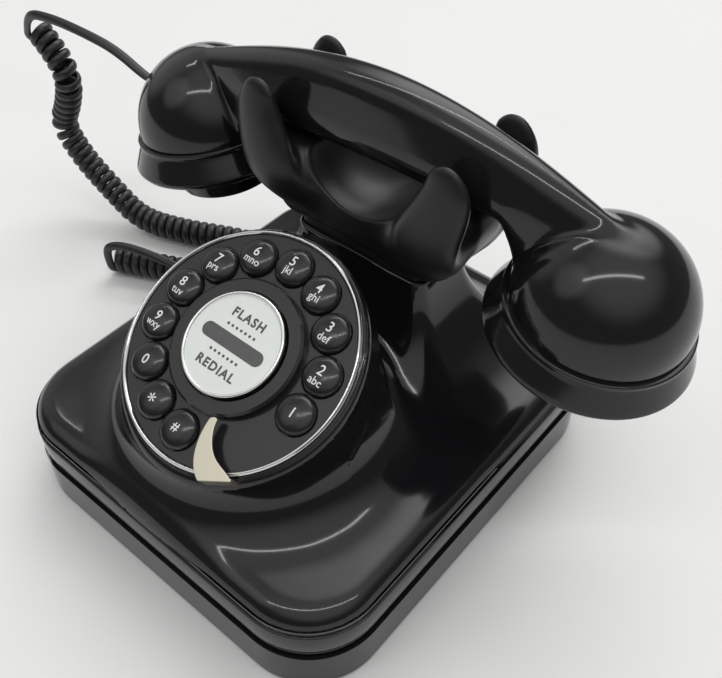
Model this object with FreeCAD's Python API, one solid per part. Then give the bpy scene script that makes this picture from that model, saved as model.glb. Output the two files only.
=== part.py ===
import FreeCAD
import Part
import bisect
import math
import os

# Desk telephone with a cradle handset and push keys set out as on a rotary dial.
# Millimetres. Origin on the table under the middle of the base, +Z up, the dial faces -Y,
# the ear end of the handset lies to +X and the mouth end, with the cord, to -X.

Vec = FreeCAD.Vector
X_AXIS = Vec(1, 0, 0)
Y_AXIS = Vec(0, 1, 0)
Z_AXIS = Vec(0, 0, 1)

# General
wall = 2.5
seat_gap = 0.3
screw_d = 2.9
small_screw_d = 2.0
screw_head_ratio = 1.86
screw_head_h = 2.0
screw_fit = 0.05

# Base tray, the lower band
base_w = 152.0
base_d = 170.0
base_corner_r = 27.0
foot_h = 1.5
foot_d = 14.0
foot_inset = 24.0
tray_top = 18.0
post_d = 7.0

# Body moulding, bands above the tray and the flat deck
groove_h = 4.0
groove_depth = 2.2
band_h = 9.0
band_inset = 0.5
bead_h = 1.4
bead_depth = 1.8
edge_inset = 1.0
deck_edge_h = 6.6
deck_edge_r = 5.0

# Dial drum and dial
dial_tilt = 28.6
dial_y = -35.6
dial_z = 77.0
ring_r = 41.4
ring_w = 1.5
ring_stand = 1.0
ring_lip_h = 4.0
drum_rim = 0.8
drum_drop = 1.0
drum_foot_side = 16.0
drum_foot_front = 5.4
drum_flare_shift = 3.0
drum_mid_level = 0.55
drum_mid_shift = 4.0
drum_mid_swell = 2.6
plate_t = 3.0
plate_fit = 0.1
lug_w = 4.4
lug_t = 5.0
lug_reach = 4.0

# Keys
key_count = 12
key_pitch_deg = 360.0 / 14
key_circle_r = 31.3
key_r = 6.7
key_fit = 0.3
key_side = 2.0
key_crown = 1.2
key_tab = 1.0
key_tab_w = 8.0
key_tab_t = 1.6
key_travel = 1.8
mat_t = 1.2
board_t = 1.6
board_margin = 1.6

# Centre hub and rocker
collar_r = 23.3
collar_h = 3.2
rocker_r = 17.8
rocker_fit = 0.8
rocker_stand = 4.4
rocker_rim_w = 1.2
rocker_body_t = 5.0
card_t = 0.4
lens_t = 1.0
rocker_pin_d = 2.0
rocker_pin_depth = 3.2
pin_fit = 0.06

# Finger stop
stop_angle = -59.0
stop_t = 1.0
stop_lift = 3.4
stop_root_w = 11.0
stop_root_side = 0.5
stop_tip_r = 23.7
stop_tip_side = -2.8
stop_foot_h = 7.4
stop_tab_w = 6.0
stop_left = ((0.747, -7.2), (0.359, -6.8), (0.056, -4.4))
stop_right = ((0.050, -1.3), (0.348, -2.1), (0.657, 0.0), (0.909, 4.8))

# Neck and cradle
neck_top = 79.5
neck_hx = 28.5
neck_hy = 14.0
neck_corner = 5.0
neck_foot_side = 10.0
neck_foot_back = 5.5
neck_foot_corner = 18.0
neck_sweep = 2.35
neck_stations = 6
handset_y = 35.5
collar_step_h = 4.0
collar_step_in = 1.4
cradle_top = 111.6
scoop_r = 24.0
scoop_half = 22.5
cradle_screw_inset = 7.0
horn_x = 36.2
horn_top = 134.5
horn_y = 18.9

# Hook switch
plunger_d = 5.0
plunger_x = 27.0
plunger_fit = 0.3
hook_travel = 3.5
yoke_z = 84.6
yoke_t = 3.0
yoke_w = 9.0
yoke_play = 0.5
stem_d = 6.0
lever_z = 56.0
lever_t = 3.0
lever_w = 8.0
lever_reach = 22.0
lever_pin_y = 48.0
lever_pin_d = 3.0
lever_boss_d = 7.0
shelf_z = 41.0
shelf_t = 2.5
switch_l = 20.0
switch_w = 6.4
switch_h = 10.0

# Handset
cap_x = 84.3
cap_drop = 20.4
cap_tilt = 11.3
dome_r = 28.8
dome_h = 29.0
cap_lip = 1.5
cap_edge_r = 34.0
cap_band_h = 12.0
mouth_cup_r = 19.0
mouth_cup_h = 12.0
handset_roll = 2.0
cap_face_h = 3.4
cap_wall = 2.4
handset_wall = 2.6
cradle_gap = 2.8
grip_h = 27.4
grip_arch = 19.4
grip_wide_h = 6.6
grip_hw = 12.4
grip_hw_top = 6.6
grip_hw_bottom = 7.8
cover_half = 46.0
cover_seam_h = 4.6
cover_gap = 0.1
receiver_r = 21.0
receiver_h = 8.0
mic_r = 6.5
mic_h = 6.0
mic_holder_t = 3.0
weight_l = 44.0
weight_w = 9.0
weight_lift = 1.0
weight_fill = 0.4

# Modular plugs and sockets of the handset cord
plug_w = 7.7
plug_h = 6.6
plug_l = 12.0
plug_show = 4.0
socket_wall = 2.0
socket_fit = 0.2
socket_seat = 2.4
line_socket_w = 10.0
line_socket_h = 7.0
line_socket_l = 14.0
line_socket_depth = 11.0

# Handset cord: wire, curls, and routes chosen by hand along the photographed lie
cord_d = 3.0
coil_mean_r = 4.8
coil_pitch = 4.2
coil_least_gap = 0.6
coil_route = [
    (-193.0, 33.0, 93.0), (-184.0, 33.0, 87.0), (-176.5, 33.0, 75.0), (-183.0, 33.0, 59.0),
    (-192.5, 33.0, 45.5), (-183.0, 33.5, 30.5), (-165.0, 35.0, 17.5), (-149.0, 36.5, 7.2),
    (-127.0, 43.5, 7.0), (-105.0, 54.4, 7.0), (-93.5, 59.0, 7.0), (-84.5, 52.5, 7.0),
    (-83.5, 41.0, 7.0), (-91.5, 30.2, 7.0), (-108.0, 23.0, 7.0), (-122.0, 16.3, 7.0),
    (-136.0, 9.5, 7.0),
]
tail_start = 6.0
tail_points = [(-137.0, 33.5, 102.4), (-155.0, 31.4, 104.8), (-173.5, 29.2, 105.8)]
tail_end = 10.0
base_tail_rise = 5.6
base_tail_points = [(-129.4, 7.6, 20.2), (-119.0, 12.4, 19.6), (-106.0, 17.4, 16.6), (-94.0, 21.2, 12.4)]
base_tail_end = 5.0
base_socket_y = 23.0
base_socket_z = 9.6

# Parts on the tray floor
ballast_w = 62.0
ballast_d = 40.0
ballast_t = 5.0
board_w = 64.0
board_d = 40.0
board_lift = 6.0
ringer_r = 20.0
ringer_h = 9.0
ringer_x = 43.0
ringer_back = 51.0
slot_pitch = 6.0
slot_w = 2.0
slot_l = 22.0
board_x = -12.0
board_gap = 2.5
ballast_front = 49.0

# Places worked out from the sizes above
half_w = base_w / 2
half_d = base_d / 2
drum_flare_x = half_w - drum_foot_side
drum_flare_y = half_d + dial_y + drum_flare_shift - drum_foot_front
neck_flare_x = half_w - neck_foot_side
neck_flare_y = half_d - handset_y - neck_foot_back
deck_z = tray_top + groove_h + band_h + bead_h + deck_edge_h
tray_floor = foot_h + wall
board_y = half_d - wall - line_socket_l - board_gap - board_d / 2
ringer_y = half_d - ringer_back
ballast_y = ballast_front - half_d
grip_bottom = cradle_top + cradle_gap
grip_top = grip_bottom + grip_h
grip_wide = grip_bottom + grip_wide_h
cover_seam_z = grip_bottom + cover_seam_h
cap_z = grip_bottom - cap_drop
tray_screw_seat = foot_h + screw_head_h + 0.2
plate_r = ring_r - ring_w - plate_fit
lug_screw_r = plate_r - lug_reach / 2
drum_r = ring_r + drum_rim
mat_z = -plate_t - seat_gap - key_tab_t - key_travel - seat_gap - mat_t
board_z = mat_z - board_t
hub_bore_r = rocker_r + rocker_fit
hub_r = hub_bore_r + 2.0
hub_snap_t = 1.6
hub_bottom = board_z - hub_snap_t
stop_root = drum_r + seat_gap + stop_t


def box(x0, x1, y0, y1, z0, z1):
    return Part.makeBox(x1 - x0, y1 - y0, z1 - z0, Vec(x0, y0, z0))


def rod(radius, start, end):
    run = end - start
    return Part.makeCylinder(radius, run.Length, start, run)


def turned(points):
    """Solid of revolution about Z of a closed outline of (radius, height) points."""
    corners = [Vec(r, 0, z) for r, z in points]
    face = Part.Face(Part.makePolygon(corners + corners[:1]))
    return face.revolve(Vec(0, 0, 0), Z_AXIS, 360)


def ring(outer, inner, z0, z1):
    return turned([(inner, z0), (outer, z0), (outer, z1), (inner, z1)])


def rounded_wire(hx, y0, y1, corner, z):
    """Rounded rectangle, as four straight edges and four quarter arcs."""
    k = corner * (1 - math.sqrt(0.5))
    edges = []
    for sx, sy in ((1, -1), (1, 1), (-1, 1), (-1, -1)):
        y_side = y1 if sy > 0 else y0
        a = Vec(sx * hx, y_side - sy * corner, z)
        b = Vec(sx * (hx - corner), y_side, z)
        mid = Vec(sx * (hx - k), y_side - sy * k, z)
        first, last = (b, a) if sx * sy < 0 else (a, b)
        if edges:
            edges.append(Part.LineSegment(edges[-1].Vertexes[-1].Point, first).toShape())
        edges.append(Part.Arc(first, mid, last).toShape())
    edges.append(Part.LineSegment(edges[-1].Vertexes[-1].Point, edges[0].Vertexes[0].Point).toShape())
    return Part.Wire(edges)


def rounded_block(inset, z0, z1):
    wire = rounded_wire(half_w - inset, inset - half_d, half_d - inset, base_corner_r - inset, z0)
    return Part.Face(wire).extrude(Vec(0, 0, z1 - z0))


def smooth_wire(points):
    curve = Part.BSplineCurve()
    curve.interpolate(Points=points, PeriodicFlag=True)
    return Part.Wire([curve.toShape()])


def oval(center, rx, ry, tilt=0.0, count=16):
    """Closed smooth curve round a point, tilted about X, started on its +X side."""
    c = math.cos(math.radians(tilt))
    s = math.sin(math.radians(tilt))
    points = []
    for k in range(count):
        a = 2 * math.pi * k / count
        v = ry * math.sin(a)
        points.append(center + Vec(rx * math.cos(a), v * c, v * s))
    return smooth_wire(points)


def loft(wires):
    return Part.makeLoft(wires, True, False)


def fused(first, *others):
    return first.multiFuse(list(others))


def on_dial(shape):
    """Carries a shape from the dial's own axes, with w = 0 on the plate, to its place."""
    placed = shape.copy()
    place = FreeCAD.Placement(Vec(0, dial_y, dial_z), FreeCAD.Rotation(X_AXIS, dial_tilt))
    placed.Placement = place.multiply(shape.Placement)
    return placed


def on_cap(shape, side):
    """Carries a shape from the axes of a handset end, z = 0 on the cap's ring, to that end."""
    placed = shape.copy()
    place = FreeCAD.Placement(Vec(side * cap_x, handset_y, cap_z), FreeCAD.Rotation(Y_AXIS, side * cap_tilt))
    placed.Placement = place.multiply(shape.Placement)
    return placed


def lying(shape):
    """Turns a shape of the level handset to the slight slant at which it lies in the cradle."""
    placed = shape.copy()
    placed.rotate(Vec(0, handset_y, grip_bottom), Y_AXIS, -handset_roll)
    return placed


def lying_point(point):
    turn = FreeCAD.Rotation(Y_AXIS, -handset_roll)
    centre = Vec(0, handset_y, grip_bottom)
    return centre + turn.multVec(point - centre)


def dial_angle(index):
    return -key_pitch_deg / 2 + key_pitch_deg * index


def polar(radius, degrees, z=0.0):
    a = math.radians(degrees)
    return Vec(radius * math.cos(a), radius * math.sin(a), z)


lug_angles = [4 * key_pitch_deg * k for k in range(4)]


def screw(top, length, direction, size=screw_d):
    """Pan-head screw whose head seats at top and whose shank runs along direction."""
    direction = Vec(direction).normalize()
    shank = rod(size / 2, top, top + direction * length)
    head = rod(size * screw_head_ratio / 2, top - direction * screw_head_h * size / screw_d, top)
    return shank.fuse(head).removeSplitter()


def screw_hole(top, length, direction, size=screw_d, play=screw_fit):
    direction = Vec(direction).normalize()
    return rod(size / 2 + play, top, top + direction * length)


# Body moulding: stepped bands, the drum under the dial and the neck under the cradle

def drum(inset):
    tilt = math.radians(dial_tilt)
    normal = Vec(0, -math.sin(tilt), math.cos(tilt))
    top = Vec(0, dial_y, dial_z) + normal * (inset - drum_drop)
    low = deck_z - wall - inset
    middle = Vec(0, dial_y + drum_mid_shift, low + (top.z - low) * drum_mid_level)
    foot = Vec(0, dial_y + drum_flare_shift, low)
    r_mid = drum_r + drum_mid_swell - inset
    return loft([
        oval(top, drum_r - inset, drum_r - inset, dial_tilt),
        oval(middle, r_mid, r_mid, dial_tilt * drum_mid_level),
        oval(foot, drum_flare_x - inset, drum_flare_y - inset),
    ])


def neck(inset):
    low = deck_z - wall - inset
    top = neck_top - inset
    wires = []
    for k in range(neck_stations + 1):
        down = k / neck_stations
        out = down ** neck_sweep
        hx = neck_hx + (neck_flare_x - neck_hx) * out - inset
        hy = neck_hy + (neck_flare_y - neck_hy) * out - inset
        corner = neck_corner + (neck_foot_corner - neck_corner) * out
        wires.append(rounded_wire(hx, handset_y - hy, handset_y + hy, corner, top - (top - low) * down))
    return loft(wires)


def bands():
    z1 = tray_top + groove_h
    z2 = z1 + band_h
    z3 = z2 + bead_h
    top = rounded_block(edge_inset, z3, deck_z)
    rim = [e for e in top.Edges if all(abs(v.Z - deck_z) < 1e-6 for v in e.Vertexes)]
    top = top.makeFillet(deck_edge_r, rim)
    return fused(
        rounded_block(groove_depth, tray_top, z1),
        rounded_block(band_inset, z1, z2),
        rounded_block(bead_depth, z2, z3),
        top,
    )


def dial_lugs():
    lugs = []
    for a in lug_angles:
        lug = box(plate_r - lug_reach, drum_r + 2 * wall, -lug_w / 2, lug_w / 2, -plate_t - lug_t, -plate_t)
        lug.rotate(Vec(0, 0, 0), Z_AXIS, a)
        hole = screw_hole(polar(lug_screw_r, a, -plate_t - lug_t), lug_t, Z_AXIS, small_screw_d)
        lugs.append(on_dial(lug.cut(hole)).common(drum(wall / 2)))
    return lugs


def dial_screw_room():
    """Room in the drum's wall for the heads of the dial screws."""
    room = []
    for a in lug_angles:
        top = polar(lug_screw_r, a, -plate_t - lug_t)
        room.append(on_dial(rod(small_screw_d * screw_head_ratio / 2 + seat_gap, top - Z_AXIS * lug_t, top)))
    return fused(room[0], *room[1:])


def lever_lugs():
    """Two ears and a shelf inside the neck for the hook lever and its switch."""
    gap = lever_w / 2 + seat_gap
    back = handset_y + neck_flare_y
    parts = [box(-gap - wall, gap + wall, lever_pin_y - lever_reach, back, shelf_z - shelf_t, shelf_z)]
    for side in (-1, 1):
        x0, x1 = sorted((side * gap, side * (gap + wall)))
        ear = box(x0, x1, lever_pin_y - lever_boss_d / 2, back, shelf_z, lever_z + lever_boss_d / 2)
        parts.append(ear)
    ears = fused(parts[0], *parts[1:])
    reach = gap + wall + 1
    bore = rod(lever_pin_d / 2, Vec(-reach, lever_pin_y, lever_z), Vec(reach, lever_pin_y, lever_z))
    return ears.cut(bore)


def body_posts():
    """Screw posts that stand on the tray posts, one near each corner, up to the wall above them."""
    room = fused(rounded_block(groove_depth, tray_top, deck_z - wall / 2), drum(wall / 2), neck(wall / 2))
    posts = []
    for x, y in corner_points(foot_inset):
        post = rod(post_d / 2, Vec(x, y, tray_top), Vec(x, y, neck_top)).common(room)
        posts.append(post.cut(screw_hole(Vec(x, y, tray_top), 12, Z_AXIS)))
    return posts


def corner_points(inset):
    return [(sx * (half_w - inset), sy * (half_d - inset)) for sx in (-1, 1) for sy in (-1, 1)]


def body_shell():
    outer = fused(bands(), drum(0.0), neck(0.0))
    inner_block = rounded_block(groove_depth + wall, tray_top - 1, deck_z - wall)
    inner = fused(inner_block, drum(wall), neck(wall))
    shell = outer.cut(inner)
    details = dial_lugs() + [lever_lugs().common(neck(wall / 2))] + body_posts()
    shell = fused(shell, *details)
    bore = on_dial(Part.makeCylinder(ring_r - ring_w + plate_fit, ring_lip_h + 1, Vec(0, 0, -ring_lip_h)))
    stem_hole = rod(stem_d / 2 + plunger_fit, Vec(0, handset_y, neck_top - 2 * wall),
                    Vec(0, handset_y, neck_top + 1))
    shell = shell.cut(fused(bore, stem_hole))
    for x in (-neck_hx + 7, neck_hx - 7):
        shell = shell.cut(screw_hole(Vec(x, handset_y, neck_top - wall), wall, Z_AXIS))
    return shell.cut(fused(stop_recess(), dial_screw_room()))


# Tray and what stands on its floor

def base_tray():
    outer = rounded_block(0.0, foot_h, tray_top)
    inner = rounded_block(wall, tray_floor, tray_top + 1)
    lip = rounded_block(groove_depth + wall + seat_gap, tray_top - wall, tray_top + 2)
    lip = lip.cut(rounded_block(groove_depth + 2 * wall, tray_top - 2 * wall, tray_top + 3))
    rail = rounded_block(wall / 2, tray_top - wall, tray_top)
    rail = rail.cut(rounded_block(groove_depth + 2 * wall - 1, tray_top - wall - 1, tray_top + 1))
    tray = fused(outer.cut(inner), lip, rail)
    for x, y in corner_points(foot_inset):
        post = rod(post_d / 2, Vec(x, y, tray_floor - 1), Vec(x, y, tray_top))
        hole = screw_hole(Vec(x, y, foot_h - 1), tray_top, Z_AXIS, play=seat_gap)
        sink_r = screw_d * screw_head_ratio / 2 + seat_gap
        sink = rod(sink_r, Vec(x, y, foot_h - 1), Vec(x, y, tray_screw_seat))
        tray = tray.fuse(post).cut(fused(hole, sink))
    for x, y in board_posts():
        post = rod(post_d / 2, Vec(x, y, tray_floor - 1), Vec(x, y, tray_floor + board_lift))
        tray = tray.fuse(post).cut(screw_hole(Vec(x, y, tray_floor), board_lift + 1, Z_AXIS))
    for x, y in ballast_posts():
        tray = tray.cut(screw_hole(Vec(x, y, tray_floor - 1.5), 3, Z_AXIS))
    for k in range(-2, 3):
        x = ringer_x + slot_pitch * k
        tray = tray.cut(box(x - slot_w / 2, x + slot_w / 2, ringer_y - slot_l / 2, ringer_y + slot_l / 2,
                            foot_h - 1, tray_floor + 1))
    wall_box = base_socket_opening()
    back_box = line_socket_opening()
    return tray.cut(fused(wall_box, back_box)).removeSplitter()


def board_posts():
    inset = 5.0
    points = []
    for sx in (-1, 1):
        for sy in (-1, 1):
            points.append((board_x + sx * (board_w / 2 - inset), board_y + sy * (board_d / 2 - inset)))
    return points


def ballast_posts():
    inset = 6.0
    return [(sx * (ballast_w / 2 - inset), ballast_y) for sx in (-1, 1)]


def base_socket_opening():
    half = plug_w / 2 + socket_fit
    z_half = plug_h / 2 + socket_fit
    return box(-half_w - 1, -half_w + wall + 9, base_socket_y - half, base_socket_y + half,
               base_socket_z - z_half, base_socket_z + z_half)


def line_socket_opening():
    z0 = tray_floor + socket_wall
    return box(-line_socket_w / 2, line_socket_w / 2, half_d - wall - line_socket_depth + 2, half_d + 1,
               z0, z0 + line_socket_h)


def handset_socket_base():
    """Socket block behind the left wall of the tray, open to the outside."""
    y_half = plug_w / 2 + socket_fit + socket_wall
    depth = plug_l - plug_show - wall + socket_fit
    x0 = -half_w + wall
    body = box(x0, x0 + depth + socket_wall, base_socket_y - y_half, base_socket_y + y_half,
               tray_floor, base_socket_z + plug_h / 2 + socket_fit + socket_wall)
    half = plug_w / 2 + socket_fit
    z_half = plug_h / 2 + socket_fit
    hole = box(x0 - 1, x0 + depth, base_socket_y - half, base_socket_y + half,
               base_socket_z - z_half, base_socket_z + z_half)
    return body.cut(hole)


def line_socket():
    """Telephone line socket in the back of the tray."""
    z0 = tray_floor + socket_wall
    y1 = half_d - wall
    half = line_socket_w / 2
    body = box(-half - socket_wall, half + socket_wall, y1 - line_socket_l, y1,
               tray_floor, z0 + line_socket_h + socket_wall)
    hole = box(-half, half, y1 - line_socket_depth, y1 + 1, z0, z0 + line_socket_h)
    return body.cut(hole)


def rubber_feet():
    feet = []
    for x, y in corner_points(foot_inset - 9):
        feet.append(rod(foot_d / 2, Vec(x, y, 0), Vec(x, y, foot_h)))
    return Part.makeCompound(feet)


def tray_screws():
    grip_length = tray_top - tray_screw_seat + 9
    spots = corner_points(foot_inset)
    return Part.makeCompound([screw(Vec(x, y, tray_screw_seat), grip_length, Z_AXIS) for x, y in spots])


def ballast_plate():
    plate = box(-ballast_w / 2, ballast_w / 2, ballast_y - ballast_d / 2, ballast_y + ballast_d / 2,
                tray_floor, tray_floor + ballast_t)
    for x, y in ballast_posts():
        plate = plate.cut(screw_hole(Vec(x, y, tray_floor - 1), ballast_t + 2, Z_AXIS))
    return plate


def ballast_screws():
    top = tray_floor + ballast_t
    return Part.makeCompound([screw(Vec(x, y, top), ballast_t + 1, -Z_AXIS) for x, y in ballast_posts()])


def main_board():
    z = tray_floor + board_lift
    board = box(board_x - board_w / 2, board_x + board_w / 2, board_y - board_d / 2, board_y + board_d / 2,
                z, z + board_t)
    for x, y in board_posts():
        board = board.cut(screw_hole(Vec(x, y, z - 1), board_t + 2, Z_AXIS))
    chip = box(board_x - 9, board_x + 9, board_y - 5, board_y + 5, z + board_t, z + board_t + 2)
    can = rod(4, Vec(board_x + 22, board_y, z + board_t), Vec(board_x + 22, board_y, z + board_t + 9))
    return fused(board, chip, can)


def board_screws():
    top = tray_floor + board_lift + board_t
    return Part.makeCompound([screw(Vec(x, y, top), board_t + 4, -Z_AXIS) for x, y in board_posts()])


def ringer():
    """Sounder that rings, glued over the slots in the tray floor."""
    z = tray_floor
    outline = [(0, z), (ringer_r, z), (ringer_r, z + 3), (11, z + 6), (11, z + ringer_h), (0, z + ringer_h)]
    body = turned(outline)
    body.translate(Vec(ringer_x, ringer_y, 0))
    return body


# Dial: plate, chrome ring, keys, hub, rocker and finger stop

def dial_plate():
    plate = Part.makeCylinder(plate_r, plate_t, Vec(0, 0, -plate_t))
    for k in range(key_count):
        spot = polar(key_circle_r, dial_angle(k), -plate_t - 1)
        plate = plate.cut(Part.makeCylinder(key_r + key_fit, plate_t + 2, spot))
    plate = plate.cut(Part.makeCylinder(hub_r + screw_fit, plate_t + 2, Vec(0, 0, -plate_t - 1)))
    for a in lug_angles:
        plate = plate.cut(screw_hole(polar(lug_screw_r, a, -plate_t - 1), plate_t, Z_AXIS, small_screw_d))
    return on_dial(plate)


def dial_screws():
    seat = -plate_t - lug_t
    length = lug_t + plate_t * 0.6
    return Part.makeCompound(
        [on_dial(screw(polar(lug_screw_r, a, seat), length, Z_AXIS, small_screw_d)) for a in lug_angles])


def dial_ring():
    inner = ring_r - ring_w
    flat = ring_w * 0.35
    return on_dial(turned([
        (inner, -drum_drop), (ring_r, -drum_drop), (ring_r, ring_stand * 0.4), (ring_r - flat, ring_stand),
        (inner + flat, ring_stand), (inner, ring_stand * 0.4),
    ]))


def key():
    """Round key with a crowned top and two tabs under the plate, one each way along the dial's radius."""
    sag = key_crown
    crown_r = (key_r ** 2 + sag ** 2) / (2 * sag)
    tab_z = -plate_t - seat_gap
    body = Part.makeCylinder(key_r, key_side + sag - tab_z, Vec(0, 0, tab_z))
    body = body.common(Part.makeSphere(crown_r, Vec(0, 0, key_side + sag - crown_r)).fuse(
        Part.makeCylinder(key_r, key_side - tab_z, Vec(0, 0, tab_z))))
    reach = key_r + key_tab
    tabs = Part.makeCylinder(reach, key_tab_t, Vec(0, 0, tab_z - key_tab_t))
    tabs = tabs.common(box(-reach, reach, -key_tab_w / 2, key_tab_w / 2, tab_z - key_tab_t, tab_z))
    return fused(body, tabs).removeSplitter()


def placed_key(index):
    shape = key()
    shape.translate(Vec(key_circle_r, 0, 0))
    shape.rotate(Vec(0, 0, 0), Z_AXIS, dial_angle(index))
    return on_dial(shape)


def key_mat():
    """Rubber sheet under the keys, with a low pad under each."""
    sheet = Part.makeCylinder(plate_r - board_margin, mat_t, Vec(0, 0, mat_z))
    sheet = sheet.cut(Part.makeCylinder(hub_r + 0.5, mat_t + 2, Vec(0, 0, mat_z - 1)))
    return on_dial(lug_notches(sheet, mat_z, mat_t))


def lug_notches(disc, z, t):
    """Clears a disc round the lugs and their screw heads."""
    for a in lug_angles:
        notch = box(plate_r - lug_reach - 4, plate_r + 2, -lug_w / 2 - 1.2, lug_w / 2 + 1.2, z - 1, z + t + 1)
        notch.rotate(Vec(0, 0, 0), Z_AXIS, a)
        disc = disc.cut(notch)
    return disc


def key_board():
    board = Part.makeCylinder(plate_r - board_margin, board_t, Vec(0, 0, board_z))
    board = board.cut(Part.makeCylinder(hub_r + screw_fit, board_t + 2, Vec(0, 0, board_z - 1)))
    return on_dial(lug_notches(board, board_z, board_t))


def hub_collar():
    """Raised black collar whose tube passes through the plate and carries the rocker's pin."""
    edge = 0.8
    collar = turned([
        (hub_bore_r, 0), (collar_r, 0), (collar_r, collar_h - edge), (collar_r - edge, collar_h),
        (hub_bore_r, collar_h),
    ])
    tube = ring(hub_r, hub_bore_r, hub_bottom, 0)
    snap = ring(hub_r + hub_snap_t, hub_bore_r, hub_bottom, board_z)
    body = fused(collar, tube, snap).removeSplitter()
    pin_z = -rocker_pin_depth
    bore = rod(rocker_pin_d / 2, Vec(-hub_r - 3, 0, pin_z), Vec(hub_r + 3, 0, pin_z))
    return on_dial(body.cut(bore))


def rocker_pin():
    z = -rocker_pin_depth
    return on_dial(rod(rocker_pin_d / 2, Vec(-hub_r, 0, z), Vec(hub_r, 0, z)))


def rocker_button():
    """White disc that rocks on the pin, with a recess for its card and lens."""
    top = rocker_stand - lens_t
    disc = Part.makeCylinder(rocker_r - rocker_rim_w, rocker_body_t, Vec(0, 0, top - card_t - rocker_body_t))
    lug = box(-rocker_r * 0.6, rocker_r * 0.6, -3, 3, -rocker_pin_depth - 3, top - card_t - 1)
    pin_z = -rocker_pin_depth
    bore = rod(rocker_pin_d / 2 + pin_fit, Vec(-rocker_r, 0, pin_z), Vec(rocker_r, 0, pin_z))
    return on_dial(fused(disc, lug).cut(bore))


def rocker_card():
    level = rocker_stand - lens_t - card_t
    return on_dial(Part.makeCylinder(rocker_r - rocker_rim_w, card_t, Vec(0, 0, level)))


def rocker_lens():
    return on_dial(Part.makeCylinder(rocker_r - rocker_rim_w, lens_t, Vec(0, 0, rocker_stand - lens_t)))


def rocker_rim():
    inner = rocker_r - rocker_rim_w
    z0 = rocker_stand - lens_t - card_t - rocker_body_t
    edge = 0.4
    return on_dial(turned([
        (inner, z0), (rocker_r, z0), (rocker_r, rocker_stand), (rocker_r - edge, rocker_stand + edge),
        (inner + edge, rocker_stand + edge), (inner, rocker_stand),
    ]))


def stop_outline():
    """Blade seen along the dial's axis, its length along local X from the tip to the root."""
    half = stop_root_w / 2
    reach = stop_root - stop_tip_r
    left_root = Vec(stop_root, stop_root_side - half, 0)
    right_root = Vec(stop_root, stop_root_side + half, 0)
    left_points = [left_root] + [Vec(stop_tip_r + reach * f, side, 0) for f, side in stop_left]
    right_points = [Vec(stop_tip_r + reach * f, side, 0) for f, side in stop_right] + [right_root]
    left = Part.BSplineCurve()
    left.interpolate(left_points)
    right = Part.BSplineCurve()
    right.interpolate(right_points)
    nose = Part.Arc(left_points[-1], Vec(stop_tip_r, stop_tip_side, 0), right_points[0])
    root_edge = Part.LineSegment(right_root, left_root)
    return Part.Wire([left.toShape(), nose.toShape(), right.toShape(), root_edge.toShape()])


def stop_foot(play):
    """Flange down the drum's side and the tab that hooks through its wall."""
    half = stop_root_w / 2 + play
    low = stop_lift - stop_foot_h
    foot = box(stop_root - stop_t - play, stop_root + play, -half, half, low - play, stop_lift + stop_t)
    tab_half = stop_tab_w / 2 + play
    tab = box(stop_root - stop_t - 2 * wall, stop_root + play, -tab_half, tab_half,
              low - play, low + stop_t + play)
    both = foot.fuse(tab)
    both.translate(Vec(0, stop_root_side, 0))
    return both


def finger_stop():
    """Stamped metal stop that bends over the rim and hooks into the drum's side."""
    blade = Part.Face(stop_outline()).extrude(Vec(0, 0, stop_t))
    blade.translate(Vec(0, 0, stop_lift))
    body = fused(blade, stop_foot(0.0)).removeSplitter()
    body.rotate(Vec(0, 0, 0), Z_AXIS, stop_angle)
    return on_dial(body)


def stop_recess():
    """Room in the drum's side for the stop's foot and tab."""
    room = stop_foot(screw_fit)
    room.rotate(Vec(0, 0, 0), Z_AXIS, stop_angle)
    return on_dial(room)


# Cradle with four horns, and the hook switch under it

def horn(side_x, side_y):
    """One horn, lofted through level ovals, broad at the saddle and narrowing to a round tip."""
    low = neck_top + collar_step_h
    rise = horn_top - low
    inner = grip_hw + 0.7
    stations = (
        (0.10, 0.76, 0.46, 8.0, 5.5),
        (0.26, 0.88, 0.86, 10.6, 6.2),
        (0.42, 0.90, None, 12.0, 5.6),
        (0.58, 0.97, None, 10.8, 5.2),
        (0.70, 1.02, None, 9.8, 4.8),
        (0.83, 1.04, None, 8.4, 4.1),
        (0.91, 1.04, None, 6.6, 3.2),
        (0.96, 1.04, None, 4.6, 2.3),
        (0.99, 1.04, None, 2.4, 1.3),
    )
    wires = []
    for up, out_x, out_y, rx, ry in stations:
        off = horn_y * out_y if out_y else max(inner + ry, horn_y)
        centre = Vec(side_x * horn_x * out_x, handset_y + side_y * off, low + rise * up)
        wires.append(oval(centre, rx, ry, count=12))
    return loft(wires)


def saddle():
    low = neck_top + collar_step_h
    step = rounded_wire(neck_hx - collar_step_in, handset_y - neck_hy + collar_step_in,
                        handset_y + neck_hy - collar_step_in, neck_corner - collar_step_in, neck_top)
    foot = Part.Face(step).extrude(Vec(0, 0, collar_step_h + 1))
    rise = cradle_top - low
    stations = (
        (0.0, 4.5, 0.4, 6), (0.18, 9.0, 1.8, 8), (0.45, 13.5, 2.2, 11), (0.75, 15.5, 0.6, 10),
        (1.0, 14.0, -2.6, 8),
    )
    wires = []
    for up, out_x, out_y, corner in stations:
        hy = neck_hy + out_y
        wires.append(rounded_wire(neck_hx + out_x, handset_y - hy, handset_y + hy, corner, low + rise * up))
    return foot.fuse(loft(wires))


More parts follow.
